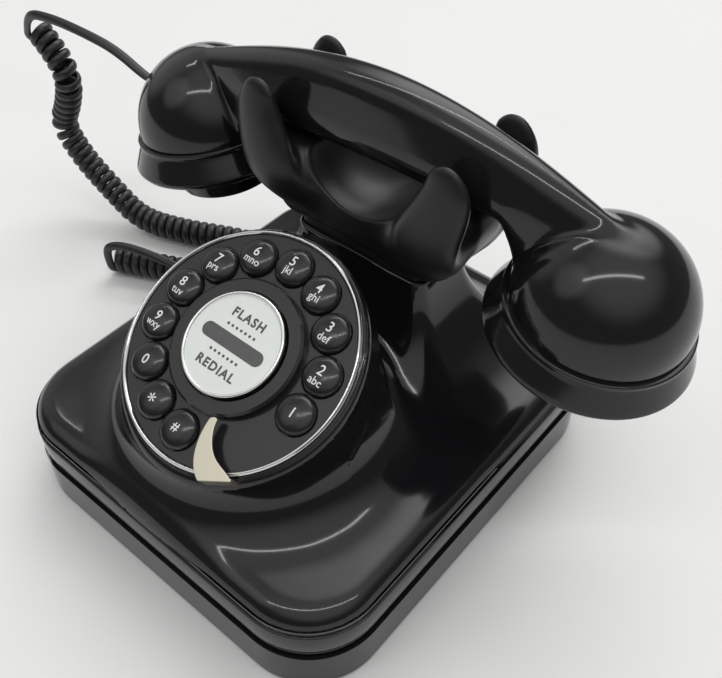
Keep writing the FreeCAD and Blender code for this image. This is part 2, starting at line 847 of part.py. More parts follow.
def cradle():
    body = saddle()
    for side_x in (-1, 1):
        for side_y in (-1, 1):
            body = body.fuse(horn(side_x, side_y))
    lift = math.sqrt(scoop_r ** 2 - scoop_half ** 2)
    scoop = Part.makeSphere(scoop_r, Vec(0, handset_y, cradle_top + lift))
    scoop = fused(scoop, Part.makeSphere(scoop_r, Vec(0, handset_y - neck_hy / 2, cradle_top + lift)))
    body = body.cut(scoop)
    room_top = yoke_z + yoke_t + hook_travel + seat_gap
    reach = plunger_x + plunger_d / 2 + 1.0
    half = yoke_w / 2 + yoke_play
    room = box(-reach, reach, handset_y - half, handset_y + half, yoke_z - yoke_play, room_top)
    stem = rod(stem_d / 2 + plunger_fit, Vec(0, handset_y, neck_top - 1), Vec(0, handset_y, yoke_z + 1))
    body = body.cut(fused(room, stem))
    for side in (-1, 1):
        x = side * plunger_x
        way = rod(plunger_d / 2 + plunger_fit, Vec(x, handset_y, yoke_z), Vec(x, handset_y, cradle_top + 5))
        body = body.cut(way)
        x = side * (neck_hx - cradle_screw_inset)
        body = body.cut(screw_hole(Vec(x, handset_y, neck_top - 1), 5, Z_AXIS))
    return body.removeSplitter()


def cradle_screws():
    seat = neck_top - wall
    x = neck_hx - cradle_screw_inset
    return Part.makeCompound([screw(Vec(s * x, handset_y, seat), wall + 3.5, Z_AXIS) for s in (-1, 1)])


def hook_yoke():
    """Bar with a plunger under each end of the grip and a stem down to the lever."""
    z1 = yoke_z + yoke_t
    reach = plunger_x + plunger_d / 2
    bar = box(-reach, reach, handset_y - yoke_w / 2, handset_y + yoke_w / 2, yoke_z, z1)
    stem_low = lever_z + lever_t / 2 + seat_gap
    parts = [bar, rod(stem_d / 2, Vec(0, handset_y, stem_low), Vec(0, handset_y, yoke_z + 1))]
    for side in (-1, 1):
        x = side * plunger_x
        tip = grip_floor(plunger_x) - plunger_x * math.sin(math.radians(handset_roll)) - seat_gap
        parts.append(rod(plunger_d / 2, Vec(x, handset_y, yoke_z + 1), Vec(x, handset_y, tip)))
    return fused(parts[0], *parts[1:]).removeSplitter()


def hook_lever():
    half = lever_w / 2
    arm = box(-half, half, lever_pin_y - lever_reach, lever_pin_y,
              lever_z - lever_t / 2, lever_z + lever_t / 2)
    boss = rod(lever_boss_d / 2, Vec(-half, lever_pin_y, lever_z), Vec(half, lever_pin_y, lever_z))
    bore_r = lever_pin_d / 2 + pin_fit
    bore = rod(bore_r, Vec(-lever_w, lever_pin_y, lever_z), Vec(lever_w, lever_pin_y, lever_z))
    return fused(arm, boss).cut(bore)


def hook_pin():
    reach = lever_w / 2 + seat_gap + wall
    return rod(lever_pin_d / 2, Vec(-reach, lever_pin_y, lever_z), Vec(reach, lever_pin_y, lever_z))


def hook_switch():
    y1 = lever_pin_y - lever_boss_d / 2 - 0.5
    body = box(-switch_w / 2, switch_w / 2, y1 - switch_l + 4, y1, shelf_z, shelf_z + switch_h)
    top = lever_z - lever_t / 2 - seat_gap
    nub = box(-1.5, 1.5, handset_y - 1.5, handset_y + 1.5, shelf_z + switch_h - 1, top)
    return body.fuse(nub)


# Handset: hollow shell, cover under the grip, caps and what they hold

def grip_stations():
    """Along X: top, widest level, bottom, and half widths at top, widest and bottom."""
    rows = (
        (0.0, 0.0, 0.0, 0.0, 0.0), (0.30, 0.6, -0.4, 0.0, 0.0), (0.55, 2.0, -1.2, 0.6, 0.4),
        (0.80, 7.0, -2.4, 3.0, 2.0), (1.0, 15.0, -3.2, 4.0, 3.0),
    )
    stations = []
    for t, sink, more_top, more_mid, more_low in rows:
        stations.append((t, grip_top - grip_arch * t ** 2, grip_wide - sink, grip_floor(t * cap_x),
                         grip_hw_top + more_top, grip_hw + more_mid, grip_hw_bottom + more_low))
    return stations


def grip_floor(x):
    """Height of the underside of the grip, a parabola that steepens towards the ends."""
    t = x / cap_x
    return grip_bottom - 2.4 * t ** 2 - 19.0 * t ** 6


def grip(inset):
    wires = []
    rows = grip_stations()
    for sign, part in ((-1, rows[:0:-1]), (1, rows)):
        for t, top, wide, bottom, w_top, w_max, w_low in part:
            x = sign * t * cap_x
            zt = top - inset
            zb = bottom + inset
            wm = w_max - inset
            wt = max(w_top - inset, 2.0)
            wb = max(w_low - inset, 2.0)
            mid = (wide + zt) / 2
            ring_points = [
                (0, zt), (wt, zt - 0.9), ((wt + wm) / 2 + 1.0, mid), (wm, wide), (wb, zb + 0.9),
                (0, zb), (-wb, zb + 0.9), (-wm, wide), (-(wt + wm) / 2 - 1.0, mid), (-wt, zt - 0.9),
            ]
            wires.append(smooth_wire([Vec(x, handset_y + y, z) for y, z in ring_points]))
    return loft(wires)


def dome(inset):
    """Egg-shaped end above the cap's ring, turned about the cap's axis."""
    r = dome_r - inset
    h = dome_h - inset
    curve = Part.BSplineCurve()
    steps = [math.pi / 2 * k / 6 for k in range(7)]
    curve.interpolate([Vec(r * math.cos(a), 0, h * math.sin(a)) for a in steps[:-1]] + [Vec(0, 0, h)])
    base = -inset if inset else 0.0
    edges = [
        curve.toShape(),
        Part.LineSegment(Vec(0, 0, h), Vec(0, 0, base)).toShape(),
        Part.LineSegment(Vec(0, 0, base), Vec(r, 0, base)).toShape(),
    ]
    if base:
        edges.append(Part.LineSegment(Vec(r, 0, base), Vec(r, 0, 0)).toShape())
    return Part.Face(Part.Wire(edges)).revolve(Vec(0, 0, 0), Z_AXIS, 360)


def handset_form(inset):
    body = fused(grip(inset), on_cap(dome(inset), 1), on_cap(dome(inset), -1))
    depth = 40.0
    for side in (-1, 1):
        low = -inset - depth
        body = body.cut(on_cap(Part.makeCylinder(dome_r + 20, depth, Vec(0, 0, low)), side))
    return body


def handset_wall_shape():
    return handset_form(0.0).cut(handset_form(handset_wall))


def seam_box(play):
    reach = grip_hw + 10
    half = cover_half - play
    return box(-half, half, handset_y - reach, handset_y + reach, cap_z, cover_seam_z - play)


def handset_shell(walls):
    shell = walls.cut(seam_box(0.0))
    half = plug_w / 2 + socket_fit
    z_half = plug_h / 2 + socket_fit
    x0, z0 = handset_exit()
    slot = box(x0 - 10, x0 + 14, handset_y - half, handset_y + half, z0 - z_half, z0 + z_half)
    return shell.cut(slot)


def handset_cover(walls):
    cover = walls.common(seam_box(cover_gap))
    for side in (-1, 1):
        x = side * weight_l / 3
        floor = grip_floor(abs(x)) + handset_wall
        cover = cover.fuse(rod(2.5, Vec(x, handset_y, floor - 1), Vec(x, handset_y, weight_floor())))
    return cover


def weight_floor():
    return grip_bottom + handset_wall + weight_lift


def handset_weight():
    z = weight_floor()
    height = weight_fill * (grip_top - handset_wall - z)
    return box(-weight_l / 2, weight_l / 2, handset_y - weight_w / 2, handset_y + weight_w / 2, z, z + height)


def handset_exit():
    """Point on the mouth end where the cord's plug goes in, as x and z."""
    return -cap_x - dome_r + 0.6, cap_z + plug_h / 2 + 1.4


def cap_shell(holes):
    """Screw-on cap: a flared band, a crowned perforated face and a seat for what it holds."""
    top_r = dome_r + cap_lip
    face_r = cap_edge_r - 7
    low = -cap_band_h
    outline = [
        (top_r - 0.6, 0), (top_r, -0.6), (top_r, -1.6), (top_r - 0.4, -2.0), (cap_edge_r, low + 1.4),
        (cap_edge_r - 0.3, low + 0.3), (cap_edge_r - 1.2, low - 0.4),
        (face_r, low - 2.4), (face_r * 0.5, low - cap_face_h + 0.2), (0, low - cap_face_h),
        (0, low - cap_face_h + cap_wall), (face_r * 0.5, low - cap_face_h + 0.2 + cap_wall),
        (face_r, low - 2.4 + cap_wall), (dome_r - handset_wall, low + cap_wall), (dome_r - handset_wall, 0),
    ]
    cap = turned(outline)
    deep = low - cap_face_h - 1
    for radius, count in holes:
        for k in range(count):
            cap = cap.cut(Part.makeCylinder(1.2, cap_wall + 4, polar(radius, 360.0 * k / count, deep)))
    return cap


def seat_level():
    return -cap_band_h - cap_face_h + cap_wall + 0.4


def ear_cap():
    cap = cap_shell(((0.0, 1), (6.0, 6), (11.5, 12)))
    seat = ring(receiver_r + 2.0, receiver_r + seat_gap, -cap_band_h - 1.0, -cap_band_h + 5)
    return on_cap(cap.fuse(seat), 1)


def mouth_cap():
    cap = cap_shell(((0.0, 1), (5.0, 6), (10.0, 10)))
    bore_r = mic_r + mic_holder_t
    seat = ring(bore_r + 1.6, bore_r, -cap_band_h - cap_face_h + 1.4, -cap_band_h + 2)
    low = -cap_band_h
    root = low - cap_face_h / 2
    inner = mouth_cup_r - cap_wall
    cup = turned([
        (inner, root), (inner, low - mouth_cup_h + 0.8), (inner + 0.8, low - mouth_cup_h),
        (mouth_cup_r - 0.8, low - mouth_cup_h), (mouth_cup_r, low - mouth_cup_h + 0.8),
        (mouth_cup_r + 3, root),
    ])
    return on_cap(fused(cap, seat, cup), -1)


def receiver():
    z = -cap_band_h + 0.6
    top = z + receiver_h
    outline = [(0, z), (receiver_r, z), (receiver_r, z + 4), (11, top - 2), (11, top), (0, top)]
    return on_cap(turned(outline), 1)


def microphone():
    z = seat_level() + 0.4
    return on_cap(Part.makeCylinder(mic_r, mic_h, Vec(0, 0, z)), -1)


def mic_holder():
    z = seat_level() + 0.4
    return on_cap(ring(mic_r + mic_holder_t, mic_r, z, z + mic_h - 1), -1)


def handset_socket():
    """Socket block inside the mouth end, open to the outside through the slot in the shell."""
    x0, z0 = handset_exit()
    half = plug_w / 2 + socket_fit
    z_half = plug_h / 2 + socket_fit
    depth = plug_l - plug_show
    x_in = x0 + handset_wall + socket_seat
    x_end = x0 + depth + socket_fit
    y_half = half + socket_wall
    body = box(x_in, x_end + socket_wall, handset_y - y_half, handset_y + y_half,
               z0 - z_half - 1.2, z0 + z_half + socket_wall)
    hole = box(x_in - 1, x_end, handset_y - half, handset_y + half, z0 - z_half, z0 + z_half)
    return body.cut(hole)


# Handset cord: two plugs, two plain tails and the curls between them

def cord_plug_handset():
    x0, z0 = handset_exit()
    return box(x0 - plug_show, x0 - plug_show + plug_l, handset_y - plug_w / 2, handset_y + plug_w / 2,
               z0 - plug_h / 2, z0 + plug_h / 2)


def cord_plug_base():
    x0 = -half_w - plug_show
    return box(x0, x0 + plug_l, base_socket_y - plug_w / 2, base_socket_y + plug_w / 2,
               base_socket_z - plug_h / 2, base_socket_z + plug_h / 2)


def bent_tube(points, diameter, name):
    """Tube along straight runs joined by tangent arcs, each as large as its two runs allow."""
    radii = []
    edges = []
    start = points[0]
    for before, corner, after in zip(points, points[1:], points[2:]):
        a = before - corner
        b = after - corner
        shorter = min(a.Length, b.Length)
        a.normalize()
        b.normalize()
        turn = math.pi - a.getAngle(b)
        cut_back = 0.45 * shorter
        radius = cut_back / math.tan(turn / 2)
        radii.append(round(radius, 1))
        p = corner + a * cut_back
        q = corner + b * cut_back
        bisector = (a + b).normalize()
        middle = corner + bisector * (radius / math.cos(turn / 2) - radius)
        edges.append(Part.LineSegment(start, p).toShape())
        edges.append(Part.Arc(p, middle, q).toShape())
        start = q
    edges.append(Part.LineSegment(start, points[-1]).toShape())
    path = Part.Wire(edges)
    heading = points[1] - points[0]
    profile = Part.Wire([Part.Circle(points[0], heading, diameter / 2).toShape()])
    tube = swept(path, profile)
    section = math.pi * diameter ** 2 / 4
    ratio = tube.Volume / (section * path.Length)
    print(name, "radii", radii, "length", round(path.Length, 1), "volume ratio", round(ratio, 4))
    return tube


def swept(path, profile):
    shell = Part.BRepOffsetAPI.MakePipeShell(path)
    shell.add(profile)
    shell.build()
    shell.makeSolid()
    return shell.shape()


class CoilAxis:
    """Smooth line that the curls wind round, with a side direction that doesn't twist along it."""

    def __init__(self, route, samples=900):
        curve = Part.BSplineCurve()
        curve.buildFromPoles([Vec(*p) for p in route], False, 2)
        first, last = curve.FirstParameter, curve.LastParameter
        marks = [first + (last - first) * k / samples for k in range(samples + 1)]
        self.points = [curve.value(u) for u in marks]
        self.heads = [Vec(*curve.tangent(u)[0]) for u in marks]
        self.bends = [curve.curvature(u) for u in marks]
        self.sides = [-Y_AXIS]
        self.lengths = [0.0]
        for k in range(1, samples + 1):
            side = self.sides[-1] - self.heads[k] * self.sides[-1].dot(self.heads[k])
            self.sides.append(side.normalize())
            self.lengths.append(self.lengths[-1] + (self.points[k] - self.points[k - 1]).Length)

    def at(self, run):
        k = min(max(bisect.bisect(self.lengths, run) - 1, 0), len(self.lengths) - 2)
        f = (run - self.lengths[k]) / (self.lengths[k + 1] - self.lengths[k])
        mix = [row[k] * (1 - f) + row[k + 1] * f for row in (self.points, self.heads, self.sides)]
        return mix[0], mix[1].normalize(), mix[2].normalize()


class Curls:
    """Helix of a curly cord along its axis, which opens in a bend so that its inner side stays clear."""

    def __init__(self, axis, radius, pitch, inner_pitch):
        self.axis = axis
        self.radius = radius
        self.length = axis.lengths[-1]
        phases = [0.0]
        for k in range(1, len(axis.points)):
            step = axis.lengths[k] - axis.lengths[k - 1]
            inner = 1 - radius * axis.bends[k]
            phases.append(phases[-1] + step / max(pitch, inner_pitch / inner))
        self.turns = math.floor(phases[-1]) + 0.5
        self.phases = [p * self.turns / phases[-1] for p in phases]

    def point(self, run):
        centre, head, side = self.axis.at(run)
        k = min(max(bisect.bisect(self.axis.lengths, run) - 1, 0), len(self.phases) - 2)
        f = (run - self.axis.lengths[k]) / (self.axis.lengths[k + 1] - self.axis.lengths[k])
        angle = 2 * math.pi * (self.phases[k] * (1 - f) + self.phases[k + 1] * f)
        return centre + (side * math.cos(angle) + head.cross(side) * math.sin(angle)) * self.radius

    def run_at(self, phase):
        k = min(max(bisect.bisect(self.phases, phase) - 1, 0), len(self.phases) - 2)
        f = (phase - self.phases[k]) / (self.phases[k + 1] - self.phases[k])
        return self.axis.lengths[k] * (1 - f) + self.axis.lengths[k + 1] * f

    def heading(self, run):
        step = 0.02
        return (self.point(min(run + step, self.length)) - self.point(max(run - step, 0.0))).normalize()


def arc_from(start, heading, end):
    chord = end - start
    side = chord - heading * chord.dot(heading)
    side.normalize()
    radius = chord.dot(chord) / (2 * chord.dot(side))
    centre = start + side * radius
    middle = ((start + end) * 0.5 - centre).normalize()
    return Part.Arc(start, centre + middle * radius, end).toShape(), radius


def biarc(p0, t0, p1, t1):
    """Two arcs that leave p0 along t0 and reach p1 along t1."""
    v = p1 - p0
    twist = 2 * (1 - t0.dot(t1))
    along = v.dot(t0 + t1)
    d = (math.sqrt(along * along + twist * v.dot(v)) - along) / twist
    joint = (p0 + p1 + (t0 - t1) * d) * 0.5
    turn_heading = (p1 - t1 * d - joint).normalize()
    return arc_from(p0, t0, joint), arc_from(joint, turn_heading, p1)


curls = Curls(CoilAxis(coil_route), coil_mean_r, coil_pitch, cord_d + coil_least_gap)


def least_gap(curl_line, diameter):
    """Smallest gap between one stretch of the wire and any stretch more than half a turn away."""
    per_turn = 24
    count = int(curl_line.turns * per_turn)
    points = [curl_line.point(curl_line.run_at(curl_line.turns * k / count)) for k in range(count + 1)]
    cells = {}
    best = 1e9
    size = 3 * diameter
    for k, p in enumerate(points):
        cells.setdefault((int(p.x // size), int(p.y // size), int(p.z // size)), []).append(k)
    for (i, j, m), members in cells.items():
        near = []
        for di in (-1, 0, 1):
            for dj in (-1, 0, 1):
                for dm in (-1, 0, 1):
                    near += cells.get((i + di, j + dj, m + dm), [])
        for k in members:
            for n in near:
                if n - k > per_turn // 2:
                    best = min(best, (points[k] - points[n]).Length)
    return best - diameter


def cord_coil():
    """The curls as one tube: a biarc for each half turn, and a straight end of one diameter."""
    steps = int(curls.turns * 2)
    runs = [curls.run_at(k / 2) for k in range(steps + 1)]
    points = [curls.point(r) for r in runs]
    heads = [curls.heading(r) for r in runs]
    start = points[0] - heads[0] * cord_d
    edges = [Part.LineSegment(start, points[0]).toShape()]
    radii = []
    for k in range(steps):
        for edge, radius in biarc(points[k], heads[k], points[k + 1], heads[k + 1]):
            edges.append(edge)
            radii.append(radius)
    edges.append(Part.LineSegment(points[-1], points[-1] + heads[-1] * cord_d).toShape())
    path = Part.Wire(edges)
    tube = swept(path, Part.Wire([Part.Circle(start, heads[0], cord_d / 2).toShape()]))
    section = math.pi * cord_d ** 2 / 4
    print("cord_coil turns", curls.turns, "wire", round(path.Length, 1), "axis", round(curls.length, 1),
          "least radius", round(min(radii), 2), "least gap", round(least_gap(curls, cord_d), 2),
          "volume ratio", round(tube.Volume / (section * path.Length), 4))
    return tube


def cord_tail_handset():
    x0, z0 = handset_exit()
    plug_end = lying_point(Vec(x0 - plug_show, handset_y, z0))
    coil_end = curls.point(0.0) - curls.heading(0.0) * cord_d
    first = lying_point(Vec(x0 - plug_show - tail_start, handset_y, z0))
    last = coil_end - curls.heading(0.0) * tail_end
    points = [plug_end, first] + [Vec(*p) for p in tail_points] + [last, coil_end]
    return bent_tube(points, cord_d, "cord_tail_handset")


def cord_tail_base():
    coil_end = curls.point(curls.length) + curls.heading(curls.length) * cord_d
    rise = coil_end + curls.heading(curls.length) * base_tail_rise
    plug_end = Vec(-half_w - plug_show, base_socket_y, base_socket_z)
    last = plug_end - X_AXIS * base_tail_end
    points = [coil_end, rise] + [Vec(*p) for p in base_tail_points] + [last, plug_end]
    return bent_tube(points, cord_d, "cord_tail_base")


key_names = ["key_1", "key_2", "key_3", "key_4", "key_5", "key_6", "key_7", "key_8", "key_9", "key_0",
             "key_star", "key_hash"]


def build():
    walls = handset_wall_shape()
    nodes = {
        "base_tray": base_tray(),
        "body_shell": body_shell(),
        "rubber_feet": rubber_feet(),
        "tray_screws": tray_screws(),
        "ballast_plate": ballast_plate(),
        "ballast_screws": ballast_screws(),
        "main_board": main_board(),
        "board_screws": board_screws(),
        "ringer": ringer(),
        "line_socket": line_socket(),
        "handset_socket_base": handset_socket_base(),
        "dial_plate": dial_plate(),
        "dial_screws": dial_screws(),
        "dial_ring": dial_ring(),
        "key_mat": key_mat(),
        "key_board": key_board(),
        "hub_collar": hub_collar(),
        "rocker_pin": rocker_pin(),
        "rocker_button": rocker_button(),
        "rocker_card": rocker_card(),
        "rocker_lens": rocker_lens(),
        "rocker_rim": rocker_rim(),
        "finger_stop": finger_stop(),
        "cradle": cradle(),
        "cradle_screws": cradle_screws(),
        "hook_yoke": hook_yoke(),
        "hook_lever": hook_lever(),
        "hook_pin": hook_pin(),
        "hook_switch": hook_switch(),
        "handset_shell": lying(handset_shell(walls)),
        "handset_cover": lying(handset_cover(walls)),
        "handset_weight": lying(handset_weight()),
        "ear_cap": lying(ear_cap()),
        "mouth_cap": lying(mouth_cap()),
        "receiver": lying(receiver()),
        "microphone": lying(microphone()),
        "mic_holder": lying(mic_holder()),
        "handset_socket": lying(handset_socket()),
        "cord_plug_handset": lying(cord_plug_handset()),
        "cord_tail_handset": cord_tail_handset(),
        "cord_coil": cord_coil(),
        "cord_tail_base": cord_tail_base(),
        "cord_plug_base": cord_plug_base(),
    }
    for index, name in enumerate(key_names):
        nodes[name] = placed_key(index)
    return nodes


os.makedirs("parts", exist_ok=True)
for node, shape in build().items():
    count = len(shape.Solids)
    if count == 1:
        shape = shape.Solids[0]
    print(node, "solids", count, "valid", shape.isValid(), "volume", round(shape.Volume, 1))
    shape.exportStep("parts/" + node + ".step")
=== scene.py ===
import math

import bmesh
import bpy
import numpy as np
from mathutils import Matrix, Vector


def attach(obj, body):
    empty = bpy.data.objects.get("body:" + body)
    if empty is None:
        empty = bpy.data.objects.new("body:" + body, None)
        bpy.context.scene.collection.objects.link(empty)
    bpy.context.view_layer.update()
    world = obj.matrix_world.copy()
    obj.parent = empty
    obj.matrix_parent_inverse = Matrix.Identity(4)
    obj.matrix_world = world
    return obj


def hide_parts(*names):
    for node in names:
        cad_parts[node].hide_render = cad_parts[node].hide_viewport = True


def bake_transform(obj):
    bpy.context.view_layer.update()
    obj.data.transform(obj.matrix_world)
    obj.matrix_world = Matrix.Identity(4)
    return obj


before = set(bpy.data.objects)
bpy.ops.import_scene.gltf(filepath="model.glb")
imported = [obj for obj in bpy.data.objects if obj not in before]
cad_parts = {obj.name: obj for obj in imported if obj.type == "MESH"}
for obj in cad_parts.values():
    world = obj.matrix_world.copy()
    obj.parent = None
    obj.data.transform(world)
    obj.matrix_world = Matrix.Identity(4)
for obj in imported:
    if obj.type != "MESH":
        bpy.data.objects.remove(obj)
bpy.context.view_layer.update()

scene = bpy.context.scene
scene.view_settings.view_transform = "Standard"


# Studio: a pale matt table top, a room with soft bright patches, and two long lamp strips overhead.
# The camera stands where the photograph was taken from, above the front right corner of the set.

class Flow:
    """A socket of a node tree that takes part in sums and products, each of which adds a Math node."""

    def __init__(self, tree, socket=None):
        self.tree = tree
        self.socket = socket

    def add(self, kind, sockets=(), out=0, **settings):
        """Adds any node: its settings first, then the values or links of its sockets."""
        node = self.tree.nodes.new("ShaderNode" + kind)
        for name, value in settings.items():
            setattr(node, name, value)
        for key, value in dict(sockets).items():
            if isinstance(value, Flow):
                self.tree.links.new(value.socket, node.inputs[key])
            else:
                node.inputs[key].default_value = value
        return Flow(self.tree, node.outputs[out])

    def math(self, operation, first, second):
        return self.add("Math", {0: first, 1: second}, operation=operation)

    def __add__(self, other):
        return self.math("ADD", self, other)

    def __mul__(self, other):
        return self.math("MULTIPLY", self, other)



def finish_material(name, make, **constants):
    """Material with one Principled surface: constants go on its own sockets, make links the rest."""
    material = bpy.data.materials.new(name)
    material.use_nodes = True
    tree = material.node_tree
    surface = tree.nodes["Principled BSDF"]
    for socket, value in constants.items():
        surface.inputs[socket.replace("_", " ")].default_value = value
    flow = Flow(tree)
    place = flow.add("TexCoord", out="Object")
    for socket, value in make(flow, place).items():
        tree.links.new(value.socket, surface.inputs[socket])
    return material


def noise(flow, place, scale, detail=3.0):
    return flow.add("TexNoise", {"Vector": place, "Scale": scale, "Detail": detail})


def tint(flow, share, low, high):
    """Colour between two by a share from 0 to 1."""
    return flow.add("Mix", {0: share, 6: (*low, 1), 7: (*high, 1)}, out=2, data_type="RGBA")


def bump(flow, height, depth):
    return flow.add("Bump", {"Height": height, "Distance": depth, "Strength": 1.0})


def new_piece(name, data):
    """Object of a mesh, lamp or camera, at the origin and unturned."""
    piece = bpy.data.objects.new(name, data)
    scene.collection.objects.link(piece)
    return piece


def table_top(flow, place):
    mottle = noise(flow, place, 9.0)
    return {
        "Base Color": tint(flow, mottle, (0.80, 0.80, 0.80), (0.85, 0.85, 0.85)),
        "Roughness": noise(flow, place, 60.0) * 0.15 + 0.5,
    }


table_half = 1.8
table_mesh = bpy.data.meshes.new("table_top")
table_corners = [(-table_half, -table_half, 0), (table_half, -table_half, 0),
                 (table_half, table_half, 0), (-table_half, table_half, 0)]
table_mesh.from_pydata(table_corners, [], [(0, 1, 2, 3)])
table_mesh.materials.append(finish_material("table_top", table_top, Specular_IOR_Level=0.3))
new_piece("table_top", table_mesh)


azimuth = math.radians(40.42)
elevation = math.radians(46.39)
camera_back = Vector((math.sin(azimuth) * math.cos(elevation), -math.cos(azimuth) * math.cos(elevation),
                      math.sin(elevation)))
camera_right = Vector((math.cos(azimuth), math.sin(azimuth), 0))
camera_up = camera_back.cross(camera_right)
strip_size = (2.0, 0.05)


def lamp_strip(name, place, power):
    """Long lamp that lies level with the picture and shines at the origin."""
    light = bpy.data.lights.new(name, "AREA")
    light.shape = "RECTANGLE"
    light.size, light.size_y = strip_size
    light.energy = power
    holder = new_piece(name, light)
    holder.location = place
    aim = Vector(place).normalized()
    along = (camera_right - aim * camera_right.dot(aim)).normalized()
    holder.rotation_euler = Matrix((along, aim.cross(along), aim)).transposed().to_euler()


lamp_strip("near_strip", (0.28, -0.24, 1.6), 4.2)
lamp_strip("far_strip", (-0.65, 0.85, 1.6), 3.8)

# Each patch of the room: the way to its middle, the cosine at its rim and its brightness.
sky_patches = (
    ((-0.20, 0.75, 0.75), 0.80, 2.2),
    ((0.25, -0.10, 0.95), 0.45, 0.75),
    ((-1.0, 0.1, 0.5), 0.80, 0.5),
    ((-0.50, -0.52, 0.70), 0.90, 0.75),
)
world = bpy.data.worlds.new("studio")
world.use_nodes = True
background = world.node_tree.nodes["Background"]
sky = Flow(world.node_tree)
heading = sky.add("TexCoord", out="Generated")
sky_glow = 0.13
for toward, rim, power in sky_patches:
    middle = Vector(toward).normalized()
    facing = sky.add("VectorMath", {0: heading, 1: middle}, "Value", operation="DOT_PRODUCT")
    span = {"Value": facing, "From Min": rim, "From Max": 1.0}
    sky_glow = sky.add("MapRange", span, interpolation_type="SMOOTHERSTEP") * power + sky_glow
background.inputs["Color"].default_value = (1.0, 1.0, 0.985, 1)
world.node_tree.links.new(sky_glow.socket, background.inputs["Strength"])
scene.world = world

photo_width = 722
focal_pixels = 902.7
axis_pixels_left = 10.0
axis_pixels_up = 1.0
viewpoint = Vector((0.15378, -0.16098, 0.28656))
camera_data = bpy.data.cameras.new("camera")
camera_data.sensor_width = 36.0
camera_data.lens = camera_data.sensor_width * focal_pixels / photo_width
camera_data.shift_x = axis_pixels_left / photo_width
camera_data.shift_y = -axis_pixels_up / photo_width
camera_data.clip_start = 0.01
camera = new_piece("camera", camera_data)
camera_turn = Matrix((camera_right, camera_up, camera_back)).transposed().to_4x4()
camera.matrix_world = Matrix.Translation(viewpoint) @ camera_turn
scene.camera = camera


# Base tray: the lower band of the base, a deep moulded tray in black gloss plastic.
# Four screws from below hold the body to it, and it stands on four rubber feet.

def black_moulding(flow, place):
    haze = noise(flow, place, 22.0, 4.0)
    dust = flow.math("GREATER_THAN", noise(flow, place, 1500.0, 0.0), 0.83)
    waves = noise(flow, place, 55.0, 1.0)
    return {
        "Base Color": tint(flow, dust * 0.35 + haze * 0.2, (0.0062, 0.0065, 0.0075), (0.024, 0.024, 0.026)),
        "Roughness": haze * 0.08 + dust * 0.12 + 0.07,
        "Normal": bump(flow, waves, 0.00012),
    }


gloss_black = finish_material("gloss_black", black_moulding, IOR=1.5)


def settle(piece, body, slot, material, *nodes):
    """Puts a finished piece on its body, in its finish and in place of the solids that it stands for."""
    piece.data.materials.clear()
    piece.data.materials.append(material)
    if nodes:
        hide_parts(*nodes)
    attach(piece, body)
    return piece


def dressed(node, sharp=32.0, edge=0.0):
    """Copy of a solid's mesh with its points merged, smooth faces and, where asked, rounded edges."""
    work = bmesh.new()
    work.from_mesh(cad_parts[node].data)
    bmesh.ops.remove_doubles(work, verts=work.verts, dist=2e-6)
    bmesh.ops.dissolve_limit(work, angle_limit=math.radians(0.5), verts=work.verts, edges=work.edges)
    mesh = bpy.data.meshes.new(node + "_dressed")
    work.to_mesh(mesh)
    work.free()
    mesh.shade_smooth()
    mesh.set_sharp_from_angle(angle=math.radians(sharp))
    piece = new_piece(node + "_dressed", mesh)
    if edge:
        rounding = piece.modifiers.new("rounded_edges", "BEVEL")
        rounding.width = edge
        rounding.segments = 2
        rounding.limit_method = "ANGLE"
        rounding.angle_limit = math.radians(sharp)
        rounding.harden_normals = True
    return piece


settle(dressed("base_tray"), "base", "black_gloss", gloss_black, "base_tray")


def carry(material, *nodes):
    """Gives solids that show as they are a finish of their own."""
    for node in nodes:
        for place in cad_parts[node].material_slots:
            place.material = material


def plain_rubber(flow, place):
    grit = noise(flow, place, 700.0, 2.0)
    return {
        "Base Color": tint(flow, noise(flow, place, 50.0), (0.018, 0.018, 0.018), (0.035, 0.034, 0.033)),
        "Roughness": grit * 0.2 + 0.65,
        "Normal": bump(flow, grit, 0.0001),
    }


def zinc_plate(flow, place):
    cloud = noise(flow, place, 300.0)
    return {
        "Base Color": tint(flow, cloud, (0.50, 0.50, 0.51), (0.66, 0.65, 0.63)),
        "Roughness": cloud * 0.2 + 0.25,
    }


soft_rubber = finish_material("soft_rubber", plain_rubber)
steel = finish_material("zinc_plated_steel", zinc_plate, Metallic=1.0)
settle(dressed("rubber_feet", edge=0.0004), "base", "rubber", soft_rubber, "rubber_feet")
settle(dressed("tray_screws"), "base", "steel", steel, "tray_screws")


# Inside the set: a cast ballast plate, two circuit boards, the sounder, the hook and its switch,
# the sockets, and the handset's weight and capsules. All are screwed or pressed in, and only the
# mouths of the sockets show.

def cast_iron(flow, place):
    skin_grain = noise(flow, place, 400.0, 4.0)
    return {
        "Base Color": tint(flow, skin_grain, (0.10, 0.10, 0.10), (0.20, 0.19, 0.18)),
        "Roughness": skin_grain * 0.25 + 0.5,
        "Normal": bump(flow, skin_grain, 0.0003),
    }


def solder_mask(flow, place):
    weave = noise(flow, place, 900.0, 1.0)
    return {
        "Base Color": tint(flow, weave, (0.015, 0.10, 0.03), (0.03, 0.17, 0.06)),
        "Roughness": weave * 0.15 + 0.3,
    }


def plain_brass(flow, place):
    stain = noise(flow, place, 120.0)
    return {
        "Base Color": tint(flow, stain, (0.62, 0.46, 0.18), (0.74, 0.58, 0.28)),
        "Roughness": stain * 0.2 + 0.22,
    }


def plain_aluminium(flow, place):
    streak = noise(flow, place, 250.0)
    return {
        "Base Color": tint(flow, streak, (0.62, 0.62, 0.63), (0.74, 0.74, 0.75)),
        "Roughness": streak * 0.2 + 0.25,
    }


